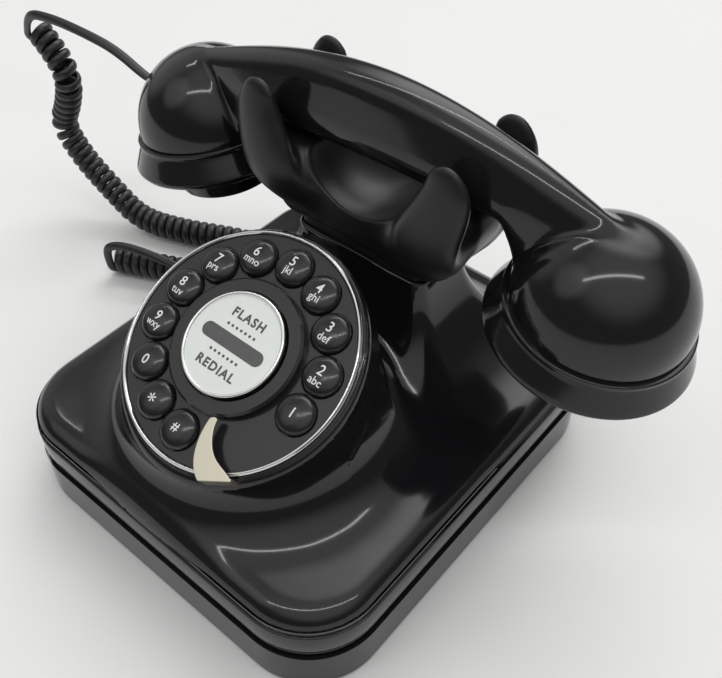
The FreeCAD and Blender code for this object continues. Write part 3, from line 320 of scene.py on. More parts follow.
def dark_moulding(flow, place):
    grain = noise(flow, place, 800.0, 2.0)
    return {
        "Base Color": tint(flow, grain, (0.014, 0.014, 0.014), (0.028, 0.028, 0.028)),
        "Roughness": grain * 0.15 + 0.4,
        "Normal": bump(flow, grain, 0.00005),
    }


iron = finish_material("cast_iron", cast_iron, Metallic=0.6)
board_green = finish_material("solder_mask", solder_mask)
brass = finish_material("plain_brass", plain_brass, Metallic=1.0)
aluminium = finish_material("plain_aluminium", plain_aluminium, Metallic=1.0)
dark_plastic = finish_material("dark_plastic", dark_moulding)
carry(iron, "ballast_plate", "handset_weight")
carry(board_green, "main_board", "key_board")
carry(brass, "ringer")
carry(aluminium, "receiver", "microphone")
carry(dark_plastic, "line_socket", "handset_socket_base", "handset_socket", "hook_yoke", "hook_switch")
carry(steel, "ballast_screws", "board_screws", "dial_screws", "cradle_screws", "rocker_pin", "hook_pin")
carry(soft_rubber, "key_mat", "mic_holder")


# Body: one black gloss moulding with two stepped bands, a deck that sweeps up into the drum under
# the dial, and a neck that carries the cradle. All its inside corners flow into each other.

def ring_points(inset, count=14):
    """Points round the base's rounded outline, drawn in by an inset."""
    radius = base_corner - inset
    points = []
    for turn, (sx, sy) in enumerate(((1, 1), (-1, 1), (-1, -1), (1, -1))):
        centre = Vector((sx * (base_half_w - base_corner), sy * (base_half_d - base_corner)))
        for k in range(count + 1):
            angle = math.pi / 2 * (turn + k / count)
            points.append(centre + radius * Vector((math.cos(angle), math.sin(angle))))
    return points


def eased(outline, radius, steps=3):
    """Outline with each inner corner cut by a short curve of about the given radius."""
    points = [Vector(outline[0])]
    for before, corner, after in zip(outline, outline[1:], outline[2:]):
        before, corner, after = Vector(before), Vector(corner), Vector(after)
        reach = min(radius, (before - corner).length * 0.45, (after - corner).length * 0.45)
        first = corner + (before - corner).normalized() * reach
        last = corner + (after - corner).normalized() * reach
        for k in range(steps + 1):
            t = k / steps
            points.append(first * (1 - t) ** 2 + corner * 2 * t * (1 - t) + last * t ** 2)
    points.append(Vector(outline[-1]))
    return points


def strip_mesh(name, rings, capped=False):
    """Quads between rings of equal count, each ring closed on itself, with flat ends where asked."""
    work = bmesh.new()
    rows = [[work.verts.new(p) for p in ring] for ring in rings]
    count = len(rows[0])
    for low, high in zip(rows, rows[1:]):
        for k in range(count):
            m = (k + 1) % count
            work.faces.new((low[k], low[m], high[m], high[k]))
    if capped:
        work.faces.new(rows[0][::-1])
        work.faces.new(rows[-1])
    bmesh.ops.remove_doubles(work, verts=work.verts, dist=1e-7)
    mesh = bpy.data.meshes.new(name)
    work.to_mesh(mesh)
    work.free()
    mesh.shade_smooth()
    return mesh


base_half_w = 0.076
base_half_d = 0.085
base_corner = 0.027
deck_top = 0.039
deck_seam = 0.0338
band_outline = [
    (0.0070, 0.0180), (0.0022, 0.0180), (0.0022, 0.0192), (0.0011, 0.0194), (0.0011, 0.0206),
    (0.0022, 0.0208), (0.0022, 0.0220), (0.0005, 0.0220), (0.0005, 0.0310), (0.0018, 0.0310),
    (0.0018, 0.0324), (0.0010, 0.0324), (0.0010, deck_seam),
]
band_rings = []
for inset, z in eased(band_outline, 0.0007):
    band_rings.append([Vector((*p, z)) for p in ring_points(inset)])
bands_mesh = strip_mesh("body_bands", band_rings)


def soft_min(a, b, reach):
    """Union of two fields, with a fillet where they differ by less than the reach."""
    share = np.clip(0.5 + 0.5 * (b - a) / reach, 0, 1)
    return b + (a - b) * share - reach * share * (1 - share)


def soft_max(a, b, reach):
    """Overlap of two fields, with the edge between them rounded over the reach."""
    return -soft_min(-a, -b, reach)


def rounded_rectangle(x, y, half_x, half_y, corner):
    """Distance from a rectangle with round corners, below zero inside it."""
    across = np.abs(x) - (half_x - corner)
    along = np.abs(y) - (half_y - corner)
    outside = np.hypot(np.maximum(across, 0), np.maximum(along, 0))
    return outside + np.minimum(np.maximum(across, along), 0) - corner


def slope_of(field, points, step=2e-5):
    """Slope of a field at each point, from its values a small step to either side."""
    columns = []
    for axis in range(3):
        shift = np.zeros(3)
        shift[axis] = step
        columns.append((field(points + shift) - field(points - shift)) / (2 * step))
    return np.stack(columns, -1)


def drawn_on(field, points, limit, rounds=4):
    """Moves points along the field's slope until they lie on its surface."""
    for _ in range(rounds):
        slope = slope_of(field, points)
        size = np.maximum((slope ** 2).sum(-1), 1e-6)
        move = -slope * (field(points) / size)[:, None]
        length = np.maximum(np.linalg.norm(move, axis=1), 1e-12)
        points = points + move * np.minimum(1, limit / length)[:, None]
    return points


def skin(name, field, low, high, step, open_below=None):
    """Mesh of the surface where a field is zero: a net of quads over a grid, drawn on to the surface."""
    axes = [np.arange(a, b + step, step) for a, b in zip(low, high)]
    value = field(np.stack(np.meshgrid(*axes, indexing="ij"), -1))
    cells = np.array(value.shape) - 1
    total = np.zeros((*cells, 3))
    hits = np.zeros(cells)
    for axis in range(3):
        for side in range(4):
            near = np.zeros(3, int)
            near[(axis + 1) % 3] = side % 2
            near[(axis + 2) % 3] = side // 2
            far = near.copy()
            far[axis] = 1
            a = value[tuple(slice(o, o + n) for o, n in zip(near, cells))]
            b = value[tuple(slice(o, o + n) for o, n in zip(far, cells))]
            crosses = (a < 0) != (b < 0)
            share = np.where(crosses, a / np.where(crosses, a - b, 1), 0)
            mark = near + share[..., None] * (far - near)
            total += mark * crosses[..., None]
            hits += crosses
    mixed = hits > 0
    number = np.full(cells, -1)
    number[mixed] = np.arange(mixed.sum())
    start = np.array([a[0] for a in axes])
    points = (np.argwhere(mixed) + total[mixed] / hits[mixed][:, None]) * step + start
    quads = []
    for axis in range(3):
        order = [(axis + k) % 3 for k in range(3)]
        v = value.transpose(order)[:, 1:-1, 1:-1]
        n = number.transpose(order)
        around = np.stack([n[:, :-1, :-1], n[:, 1:, :-1], n[:, 1:, 1:], n[:, :-1, 1:]], -1)
        inside = v[:-1] < 0
        outside = v[1:] < 0
        quads.append(around[inside & ~outside])
        quads.append(around[~inside & outside][:, ::-1])
    quads = np.concatenate(quads)
    points = drawn_on(field, points, step)
    for _ in range(3):
        gathered = np.zeros_like(points)
        weight = np.zeros(len(points))
        for k in range(4):
            ends = quads[:, k], quads[:, (k + 1) % 4]
            np.add.at(gathered, ends[0], points[ends[1]])
            np.add.at(gathered, ends[1], points[ends[0]])
            np.add.at(weight, ends[0], 1)
            np.add.at(weight, ends[1], 1)
        points = points + 0.6 * (gathered / weight[:, None] - points)
        points = drawn_on(field, points, step, 3)
    if open_below is not None:
        quads = quads[(points[quads][..., 2] > open_below).any(1)]
        points[:, 2] = np.maximum(points[:, 2], open_below)
    used, places = np.unique(quads, return_inverse=True)
    points = points[used]
    mesh = bpy.data.meshes.new(name)
    mesh.from_pydata(points.tolist(), [], places.reshape(-1, 4).tolist())
    mesh.shade_smooth()
    slope = slope_of(field, points)
    slope /= np.linalg.norm(slope, axis=1)[:, None]
    mesh.normals_split_custom_set_from_vertices(slope.tolist())
    return mesh


dial_tilt = math.radians(28.6)
dial_centre = Vector((0, -0.0356, 0.077))
drum_radius = 0.0422
drum_top = -0.0010
can_depth = 0.016
drum_flare = 0.012
drum_flare_depth = 0.050
drum_rim_round = 0.0026
drum_waist_fillet = 0.006
drum_fillet = 0.020
deck_edge_round = 0.009
neck_mid_y = 0.0355
neck_top = 0.0795
neck_half = (0.0285, 0.0140)
neck_spread = (0.030, 0.024)
neck_fall = 0.043
neck_corner = 0.005
neck_corner_growth = 0.012
neck_rim_round = 0.0014
neck_fillet = 0.016


def dial_levels(y, z):
    """Along the dial's slope, and above its plate."""
    dy = y - dial_centre.y
    dz = z - dial_centre.z
    return (dy * math.cos(dial_tilt) + dz * math.sin(dial_tilt),
            dz * math.cos(dial_tilt) - dy * math.sin(dial_tilt))


def body_field(p):
    """The deck, the drum under the dial and the neck, joined by wide fillets."""
    x, y, z = p[..., 0], p[..., 1], p[..., 2]
    inset = band_outline[-1][0]
    edge = rounded_rectangle(x, y, base_half_w - inset, base_half_d - inset, base_corner - inset)
    deck = soft_max(edge, z - deck_top, deck_edge_round)
    along, above = dial_levels(y, z)
    can = np.maximum(np.hypot(x, along) - drum_radius, -can_depth - above)
    depth = np.maximum(-above / math.cos(dial_tilt), 0)
    swell = drum_flare * (depth / drum_flare_depth) ** 2
    skirt = np.hypot(x, (y - dial_centre.y) / math.cos(dial_tilt)) - drum_radius - swell
    drum = soft_max(soft_min(can, skirt, drum_waist_fillet), above - drum_top, drum_rim_round)
    spread = np.clip((neck_top - z) / neck_fall, 0, 1.3) ** 2
    neck = rounded_rectangle(x, y - neck_mid_y, neck_half[0] + neck_spread[0] * spread,
                             neck_half[1] + neck_spread[1] * spread,
                             neck_corner + neck_corner_growth * spread)
    neck = soft_max(neck, z - neck_top, neck_rim_round)
    return soft_min(soft_min(deck, drum, drum_fillet), neck, neck_fillet)


body_mesh = skin("body_top", body_field, (-0.079, -0.088, 0.028), (0.079, 0.088, 0.102), 0.0017, deck_seam)
body = new_piece("body_moulding", body_mesh)
settle(body, "base", "black_gloss", gloss_black, "body_shell")
settle(new_piece("body_bands", bands_mesh), "base", "black_gloss", gloss_black)
dial_place = Matrix.Translation(dial_centre) @ Matrix.Rotation(dial_tilt, 4, "X")


def lathe(name, outline, place, count=56):
    """Round piece turned from an outline of (radius, height) about the axis of a place."""
    rings = []
    for radius, z in outline:
        turns = [2 * math.pi * k / count for k in range(count)]
        rings.append([place @ Vector((radius * math.cos(a), radius * math.sin(a), z)) for a in turns])
    return strip_mesh(name, rings)


lip_radius = drum_radius + 0.0002
lip_top = drum_top + 0.0001
lip_corners = [(drum_radius - 0.0002, -0.0075), (lip_radius, -0.0045), (lip_radius, lip_top),
               (drum_radius - 0.0022, lip_top)]
drum_lip = new_piece("drum_lip", lathe("drum_lip", eased(lip_corners, 0.0008), dial_place, 128))
settle(drum_lip, "base", "black_gloss", gloss_black)


# Dial plate and ring: a flat black disc with twelve holes, and a bright chrome ring pressed round it.
# Four screws from behind hold the plate to lugs in the drum, and a raised collar stands in its middle.

def bright_chrome(flow, place):
    smear = noise(flow, place, 160.0)
    return {
        "Base Color": tint(flow, smear, (0.62, 0.63, 0.64), (0.74, 0.74, 0.74)),
        "Roughness": smear * 0.08 + 0.05,
    }


def dial_moulding(flow, place):
    haze = noise(flow, place, 40.0, 3.0)
    return {
        "Base Color": tint(flow, haze, (0.010, 0.010, 0.0115), (0.018, 0.018, 0.020)),
        "Roughness": haze * 0.10 + 0.12,
        "Normal": bump(flow, noise(flow, place, 900.0, 2.0), 0.00002),
    }


chrome = finish_material("bright_chrome", bright_chrome, Metallic=1.0)
dial_black = finish_material("dial_black", dial_moulding, IOR=1.5)
settle(dressed("dial_plate", edge=0.0003), "base", "black_gloss", dial_black, "dial_plate")
settle(dressed("dial_ring", edge=0.0002), "base", "chrome", chrome, "dial_ring")
settle(dressed("hub_collar", edge=0.0003), "base", "black_gloss", dial_black, "hub_collar")


# Keys: twelve round black buttons with domed tops, each on its own rubber pad.
# The numbers and letters are white print on the domes, all upright along the dial's own X.

key_radius = 0.0067
key_top = 0.0032
key_crown = 0.0012
key_edge_drop = 0.0011
key_foot = -0.0030
key_circle = 0.0313
key_step = 2 * math.pi / 14
key_legends = (
    ("key_1", "1", ""), ("key_2", "2", "abc"), ("key_3", "3", "def"), ("key_4", "4", "ghi"),
    ("key_5", "5", "jkl"), ("key_6", "6", "mno"), ("key_7", "7", "prs"), ("key_8", "8", "tuv"),
    ("key_9", "9", "wxy"), ("key_0", "0", ""), ("key_star", "*", ""), ("key_hash", "#", ""),
)
figure_size = 0.0048
sign_sizes = {"*": 0.0068, "#": 0.0043}
figure_rise = 0.0014
letters_size = 0.0036
letters_rise = -0.0024
key_print_weight = 0.00004
ink_lift = 0.00004


def key_height(x, y):
    """Height of a key's domed top, from the dial's plate."""
    share = math.hypot(x, y) / key_radius
    return key_top - key_crown * share ** 2 - key_edge_drop * share ** 10


def on_key(x, y):
    return key_height(x, y) + ink_lift


def lettering(text, size, weight, spread=1.0):
    """Flat mesh of a word, its middle on the origin, its letters thickened and set apart as asked."""
    data = bpy.data.curves.new("word", "FONT")
    data.body = text
    data.size = size
    data.offset = weight
    data.space_character = spread
    data.align_x = "CENTER"
    data.resolution_u = 3
    holder = bpy.data.objects.new("word", data)
    mesh = bpy.data.meshes.new_from_object(holder)
    bpy.data.objects.remove(holder)
    bpy.data.curves.remove(data)
    middle = (min(v.co.y for v in mesh.vertices) + max(v.co.y for v in mesh.vertices)) / 2
    mesh.transform(Matrix.Translation((0, -middle, 0)))
    return mesh


def draped(mesh, shift, height, place, grid=0.0006):
    """Cuts a flat mesh into small cells, lays it over a height and moves it to its place."""
    work = bmesh.new()
    work.from_mesh(mesh)
    bmesh.ops.translate(work, verts=work.verts, vec=shift)
    for axis in (Vector((1, 0, 0)), Vector((0, 1, 0))):
        low = min(v.co.dot(axis) for v in work.verts)
        high = max(v.co.dot(axis) for v in work.verts)
        for k in range(1, int((high - low) / grid) + 1):
            parts = work.verts[:] + work.edges[:] + work.faces[:]
            bmesh.ops.bisect_plane(work, geom=parts, plane_co=axis * (low + k * grid), plane_no=axis)
    for v in work.verts:
        v.co.z = height(v.co.x, v.co.y)
    work.transform(place)
    for face in work.faces:
        if face.normal.z < 0:
            face.normal_flip()
    work.to_mesh(mesh)
    work.free()
    return mesh


def white_ink(flow, place):
    wear = noise(flow, place, 900.0, 2.0)
    return {
        "Base Color": tint(flow, wear, (0.74, 0.74, 0.73), (0.86, 0.86, 0.85)),
        "Roughness": wear * 0.2 + 0.35,
    }


key_ink = finish_material("white_ink", white_ink)
key_outline = [(key_radius, key_foot)]
for k in range(15):
    radius = key_radius * math.cos(math.pi / 2 * k / 14)
    key_outline.append((radius if k < 14 else 0, key_height(radius, 0)))
for index, (node, sign, letters) in enumerate(key_legends):
    angle = key_step * (index - 0.5)
    spot = dial_place @ Matrix.Translation((key_circle * math.cos(angle), key_circle * math.sin(angle), 0))
    key_cap = new_piece(node + "_cap", lathe(node + "_cap", key_outline, spot))
    settle(key_cap, node, "black_gloss", dial_black, node)
    printed = [(sign, sign_sizes.get(sign, figure_size), figure_rise if letters else 0.0)]
    if letters:
        printed.append((letters, letters_size, letters_rise))
    for number, (text, size, rise) in enumerate(printed):
        legend = draped(lettering(text, size, key_print_weight), (0, rise, 0), on_key, spot)
        settle(new_piece(f"{node}_print_{number}", legend), node, "white_plastic", key_ink)


# Centre rocker: a white button that tips on a cross pin, with a printed card under a clear lens.
# A chrome rim holds the two. FLASH stands on its upper half and REDIAL on its lower half.

def white_card(flow, place):
    fibre = noise(flow, place, 260.0)
    return {
        "Base Color": tint(flow, fibre, (0.74, 0.78, 0.75), (0.82, 0.85, 0.82)),
        "Roughness": fibre * 0.1 + 0.32,
    }


def grey_ink(flow, place):
    wear = noise(flow, place, 500.0, 2.0)
    return {
        "Base Color": tint(flow, wear, (0.028, 0.028, 0.030), (0.055, 0.055, 0.056)),
        "Roughness": wear * 0.15 + 0.3,
    }


def rim_plate(flow, place):
    smear = noise(flow, place, 300.0)
    return {
        "Base Color": tint(flow, smear, (0.78, 0.78, 0.77), (0.88, 0.88, 0.87)),
        "Roughness": smear * 0.10 + 0.16,
    }


soft_chrome = finish_material("soft_chrome", rim_plate, Metallic=1.0)
card_white = finish_material("white_card", white_card, Coat_Weight=1.0, Coat_Roughness=0.04)
card_ink = finish_material("card_ink", grey_ink, Coat_Weight=1.0, Coat_Roughness=0.04)
rocker_level = 0.0044
face_radius = 0.0166
face_outline = [(face_radius, rocker_level - 0.001), (face_radius, rocker_level), (0, rocker_level)]
face = new_piece("rocker_face", lathe("rocker_face", face_outline, dial_place, 96))
face.data.set_sharp_from_angle(angle=math.radians(40))
settle(face, "rocker", "card", card_white, "rocker_card", "rocker_lens")
rim_radius = 0.0172
rim_half = 0.0006
rim_outline = [(rim_radius + rim_half, rocker_level - 0.006)]
for k in range(9):
    angle = math.pi * k / 8
    rim_outline.append((rim_radius + rim_half * math.cos(angle), rocker_level + rim_half * math.sin(angle)))
rim_outline.append((rim_radius - rim_half, rocker_level - 0.0006))
rim = new_piece("rocker_rim_turned", lathe("rocker_rim_turned", rim_outline, dial_place, 96))
settle(rim, "rocker", "chrome", soft_chrome, "rocker_rim")
carry(card_white, "rocker_button")


def on_card(x, y):
    return rocker_level + ink_lift


word_size = 0.0042
word_weight = 0.00016
word_spread = 1.22
for text, rise in (("FLASH", 0.0092), ("REDIAL", -0.0092)):
    letters = lettering(text, word_size, word_weight, word_spread)
    word = draped(letters, (0, rise, 0), on_card, dial_place, 0.004)
    settle(new_piece("rocker_" + text.lower(), word), "rocker", "card", card_ink)

slot_half = 0.0104
slot_radius = 0.0025
slot_corners = []
for side in (1, -1):
    for k in range(17):
        angle = math.pi * (k / 16 - 0.5)
        slot_corners.append((side * (slot_half + slot_radius * math.cos(angle)),
                             side * slot_radius * math.sin(angle), rocker_level + ink_lift))
slot_mesh = bpy.data.meshes.new("rocker_bar")
slot_mesh.from_pydata(slot_corners, [], [range(len(slot_corners))])
slot_mesh.transform(dial_place)
settle(new_piece("rocker_bar", slot_mesh), "rocker", "card", card_ink)


def nodes_group(name, inputs):
    """Empty Geometry Nodes group with the given inputs and a Geometry output."""
    group = bpy.data.node_groups.new(name, "GeometryNodeTree")
    for label, kind, value in inputs:
        group.interface.new_socket(label, in_out="INPUT", socket_type=kind).default_value = value
    group.interface.new_socket("Geometry", in_out="OUTPUT", socket_type="NodeSocketGeometry")
    return group


def grown(name, group, values):
    """Plain mesh of what a Geometry Nodes group makes with the given values of its inputs."""
    holder = new_piece(name, bpy.data.meshes.new(name))
    growth = holder.modifiers.new("growth", "NODES")
    growth.node_group = group
    for item in group.interface.items_tree:
        if item.in_out == "INPUT" and item.name in values:
            growth[item.identifier] = values[item.name]
    holder.update_tag()
    ready = holder.evaluated_get(bpy.context.evaluated_depsgraph_get())
    mesh = bpy.data.meshes.new_from_object(ready)
    holder.modifiers.clear()
    holder.data = mesh
    return holder


dot_row = nodes_group("dot_row", [
    ("Count", "NodeSocketInt", 9), ("Length", "NodeSocketFloat", 0.012), ("Dot", "NodeSocketFloat", 0.0004),
])
tree = dot_row.nodes
source = tree.new("NodeGroupInput")
result = tree.new("NodeGroupOutput")
line = tree.new("GeometryNodeMeshLine")
line.mode = "END_POINTS"
halves = tree.new("ShaderNodeMath")
halves.operation = "MULTIPLY"
halves.inputs[1].default_value = 0.5
start_point = tree.new("ShaderNodeCombineXYZ")
end_point = tree.new("ShaderNodeCombineXYZ")
turned_sign = tree.new("ShaderNodeMath")
turned_sign.operation = "MULTIPLY"
turned_sign.inputs[1].default_value = -1.0
disc = tree.new("GeometryNodeMeshCircle")
disc.fill_type = "NGON"
disc.inputs["Vertices"].default_value = 10
copies = tree.new("GeometryNodeInstanceOnPoints")
plain = tree.new("GeometryNodeRealizeInstances")
painted = tree.new("GeometryNodeSetMaterial")
painted.inputs["Material"].default_value = card_ink
for a, b in (
    (source.outputs["Count"], line.inputs["Count"]),
    (source.outputs["Length"], halves.inputs[0]),
    (halves.outputs[0], end_point.inputs["X"]),
    (halves.outputs[0], turned_sign.inputs[0]),
    (turned_sign.outputs[0], start_point.inputs["X"]),
    (start_point.outputs[0], line.inputs["Start Location"]),
    (end_point.outputs[0], line.inputs["Offset"]),
    (source.outputs["Dot"], disc.inputs["Radius"]),
    (line.outputs["Mesh"], copies.inputs["Points"]),
    (disc.outputs["Mesh"], copies.inputs["Instance"]),
    (copies.outputs["Instances"], plain.inputs["Geometry"]),
    (plain.outputs["Geometry"], painted.inputs["Geometry"]),
    (painted.outputs["Geometry"], result.inputs["Geometry"]),
):
    dot_row.links.new(a, b)
for name, rise in (("upper", 0.0048), ("lower", -0.0048)):
    dots = grown("rocker_dots_" + name, dot_row, {"Count": 7, "Length": 0.0112, "Dot": 0.00052})
    dots.data.transform(dial_place @ Matrix.Translation((0, rise, rocker_level + ink_lift)))
    settle(dots, "rocker", "card", card_ink)


# Finger stop: a curved blade stamped from sheet, nickel plated, that reaches over the dial from its rim.
# It is only for looks on a set with keys, and hooks into a slot in the drum's side.

def brushed_nickel(flow, place):
    long_place = flow.add("Mapping", {"Vector": place, "Scale": (1, 12, 1)})
    grain = noise(flow, long_place, 900.0, 2.0)
    return {
        "Base Color": tint(flow, grain, (0.62, 0.575, 0.47), (0.70, 0.655, 0.55)),
        "Roughness": grain * 0.08 + 0.32,
    }


nickel = finish_material("brushed_nickel", brushed_nickel, Metallic=1.0)
settle(dressed("finger_stop", sharp=40.0, edge=0.00025), "base", "nickel", nickel, "finger_stop")


# Cradle: a black satin saddle on the neck, with four round horns that hold the handset between them
# and a dish in its top for the fingers. Two screws from inside the neck hold it.

def satin_moulding(flow, place):
    grain = noise(flow, place, 1800.0, 2.0)
    haze = noise(flow, place, 30.0, 3.0)
    return {
        "Base Color": tint(flow, haze, (0.010, 0.010, 0.011), (0.017, 0.017, 0.018)),
        "Roughness": haze * 0.10 + grain * 0.06 + 0.26,
        "Normal": bump(flow, grain, 0.00003),
    }


satin_black = finish_material("satin_black", satin_moulding, IOR=1.42)
cradle_low = 0.0835
cradle_top = 0.1116
horn_top = 0.1345
foot_half = (0.0271, 0.0126)
foot_corner = 0.0036
saddle_round = 0.003
saddle_levels = (0.0, 0.18, 0.45, 0.75, 1.0)
saddle_wide = np.polyfit(saddle_levels, (0.0045, 0.0090, 0.0135, 0.0155, 0.0140), 4)
saddle_deep = np.polyfit(saddle_levels, (0.0004, 0.0018, 0.0022, 0.0006, -0.0026), 4)
saddle_corner = np.polyfit(saddle_levels, (0.006, 0.008, 0.011, 0.010, 0.008), 4)
horn_levels = (0.10, 0.26, 0.42, 0.58, 0.74, 0.92)
horn_place = np.polyfit(horn_levels, (0.0275, 0.0310, 0.0325, 0.0350, 0.0372, 0.0378), 4)
horn_away = np.polyfit(horn_levels, (0.0092, 0.0166, 0.0194, 0.0191, 0.0184, 0.0178), 4)
horn_wide = np.polyfit(horn_levels, (0.0080, 0.0106, 0.0120, 0.0108, 0.0098, 0.0096), 4)
horn_deep = np.polyfit(horn_levels, (0.0056, 0.0062, 0.0056, 0.0052, 0.0045, 0.0040), 4)
horn_taper = 0.0165
horn_root = 0.08
horn_root_round = 0.004
horn_fillet = 0.007
dish_radius = 0.024
dish_level = 0.11995
dish_run = 0.007
dish_edge_round = 0.0014


def cradle_field(p):
    """The saddle on its foot, with the horns added and the dish taken out."""
    x = np.abs(p[..., 0])
    away = p[..., 1] - neck_mid_y
    y = np.abs(away)
    z = p[..., 2]
    foot = rounded_rectangle(x, y, *foot_half, foot_corner)
    foot = np.maximum(foot, np.maximum(neck_top - 0.001 - z, z - cradle_low - 0.002))
    up = np.clip((z - cradle_low) / (cradle_top - cradle_low), 0, 1)
    saddle = rounded_rectangle(x, y, neck_half[0] + np.polyval(saddle_wide, up),
                               neck_half[1] + np.polyval(saddle_deep, up), np.polyval(saddle_corner, up))
    saddle = soft_max(saddle, np.maximum(cradle_low - z, z - cradle_top), saddle_round)
    rise = horn_top - cradle_low
    up = np.clip((z - cradle_low) / rise, horn_root, 1 - horn_root)
    wide = np.polyval(horn_wide, up)
    deep = np.polyval(horn_deep, up)
    tip = np.maximum(z - horn_top + horn_taper, 0) / horn_taper
    base = np.maximum(cradle_low + horn_root * rise - z, 0) / horn_root_round
    across = (x - np.polyval(horn_place, up)) / wide
    along = (y - np.polyval(horn_away, up)) / deep
    horns = (np.sqrt(across ** 2 + along ** 2 + tip ** 2 + base ** 2) - 1) * deep
    whole = soft_min(saddle, horns, horn_fillet)
    run = np.clip(away, -dish_run, 0)
    dish = np.sqrt(p[..., 0] ** 2 + (away - run) ** 2 + (z - dish_level) ** 2) - dish_radius
    return np.minimum(soft_max(whole, -dish, dish_edge_round), foot)


cradle_mesh = skin("cradle_moulding", cradle_field, (-0.052, 0.008, 0.076), (0.052, 0.063, 0.137), 0.00115)
settle(new_piece("cradle_moulding", cradle_mesh), "base", "black_gloss", satin_black, "cradle")
carry(dark_plastic, "hook_lever")


# Handset: two black gloss shells that meet under the grip, with an egg-shaped end over each cap.
# The grip has ridges along its top and sides, and it lies with its mouth end a little lower.

end_place = 0.0843
cap_level = 0.0940
cap_tilt = math.radians(11.3)
dome_radius = 0.0288
dome_height = 0.0290
grip_low = 0.1144
grip_top = 0.1418
grip_arch = 0.0194
grip_end = 0.096
grip_end_round = 0.012
grip_ridge_round = 0.0056
grip_side_round = 0.0050
grip_under_round = 0.004
crease_fillet = 0.0024
dome_tuck = 0.003
dome_inner = 0.050
handset_slant = math.radians(2.0)
slant_point = Vector((0, neck_mid_y, grip_low))
lying = (Matrix.Translation(slant_point) @ Matrix.Rotation(-handset_slant, 4, "Y")
         @ Matrix.Translation(-slant_point))


def grip_field(x, y, z):
    """The arched grip: a roof over its widest level and a tucked lower part, by the share t of its run."""
    t = np.minimum(np.abs(x) / end_place, 1.06)
    top = grip_top - grip_arch * t ** 2 + 0.0020 * t ** 6
    wide = 0.1210 - 0.0150 * t ** 3.1
    drop = np.clip((t - 0.60) / 0.14, 0, 1)
    low = grip_low - 0.0024 * t ** 2 - 0.020 * drop ** 2 * (3 - 2 * drop)
    half_top = 0.0066 - 0.0034 * t ** 1.6
    half_wide = 0.0128 - 0.0042 * t ** 3
    half_low = 0.0078
    side = np.abs(y - neck_mid_y)
    rise = top - wide
    lean = half_wide - half_top
    upper = ((side - half_wide) * rise + (z - wide) * lean) / np.hypot(rise, lean)
    fall = wide - low
    tuck = half_wide - half_low
    lower = ((side - half_wide) * fall - (z - wide) * tuck) / np.hypot(fall, tuck)
    roof = soft_max(upper, z - top, grip_ridge_round)
    under = soft_max(lower, low - z, grip_under_round)
    return soft_max(soft_max(roof, under, grip_side_round), np.abs(x) - grip_end, grip_end_round)


def dome_field(x, y, z):
    """An end's round dome, and the level above the cap that it sits in."""
    outward = np.abs(x) - end_place
    level = z - cap_level
    along = outward * math.sin(cap_tilt) + level * math.cos(cap_tilt)
    across = outward * math.cos(cap_tilt) - level * math.sin(cap_tilt)
    sideways = (y - neck_mid_y) / dome_radius
    ball = np.sqrt((across / dome_radius) ** 2 + sideways ** 2 + (along / dome_height) ** 2)
    return (ball - 1) * dome_radius, along


def handset_field(p):
    """Grip and domes of the lying handset, cut off where the caps begin."""
    down = p[..., 2] - grip_low
    x = p[..., 0] * math.cos(handset_slant) + down * math.sin(handset_slant)
    z = grip_low + down * math.cos(handset_slant) - p[..., 0] * math.sin(handset_slant)
    y = p[..., 1]
    dome, along = dome_field(x, y, z)
    whole = soft_min(grip_field(x, y, z), dome, crease_fillet)
    near_end = np.abs(x) - dome_inner
    return np.maximum(whole, np.minimum(-dome_tuck - along, near_end))


handset_low = (-0.117, 0.0040, 0.078)
handset_high = (0.118, 0.0670, 0.1455)
handset_mesh = skin("handset_moulding", handset_field, handset_low, handset_high, 0.0013)
settle(new_piece("handset_moulding", handset_mesh), "handset", "black_gloss", gloss_black,
       "handset_shell", "handset_cover")


# Caps: a flared round cap screwed under each end of the handset, with small holes in its face.
# The mouth cap has a short cup round its holes. Both are turned black mouldings.

cap_lip_radius = dome_radius + 0.0015
cap_edge_radius = 0.0340
cap_face_radius = 0.0270
cap_bore = dome_radius - 0.0026
cap_band = 0.0120
cap_crown = 0.0034
cap_wall = 0.0024
cup_radius = 0.0190
cup_depth = 0.0120
cup_root = -cap_band - cap_crown / 2
cap_middle = (0, -cap_band - cap_crown)
cap_rim = [
    (cap_face_radius, -cap_band - 0.0024), (cap_edge_radius - 0.0012, -cap_band - 0.0004),
    (cap_edge_radius, -cap_band + 0.0014), (cap_lip_radius - 0.0004, -0.0020), (cap_lip_radius, -0.0016),
    (cap_lip_radius, 0), (cap_bore, 0), (cap_bore, -cap_band + cap_wall),
    (cap_face_radius - 0.0030, -cap_band - 0.0020 + cap_wall), (0, -cap_band - cap_crown + cap_wall),
]
mouth_cup = [
    (cup_radius - cap_wall, cup_root - 0.0006), (cup_radius - cap_wall, -cap_band - cup_depth),
    (cup_radius, -cap_band - cup_depth), (cup_radius + 0.0030, cup_root),
]
hole_rings = nodes_group("hole_rings", [
    ("Inner Count", "NodeSocketInt", 6), ("Inner Ring", "NodeSocketFloat", 0.006),
    ("Outer Count", "NodeSocketInt", 12), ("Outer Ring", "NodeSocketFloat", 0.0115),
])
tree = hole_rings.nodes
source = tree.new("NodeGroupInput")
result = tree.new("NodeGroupOutput")
drill = tree.new("GeometryNodeMeshCylinder")
drill.inputs["Vertices"].default_value = 20
drill.inputs["Radius"].default_value = 0.0012
drill.inputs["Depth"].default_value = 0.012
gathered = tree.new("GeometryNodeJoinGeometry")
hole_rings.links.new(drill.outputs["Mesh"], gathered.inputs["Geometry"])
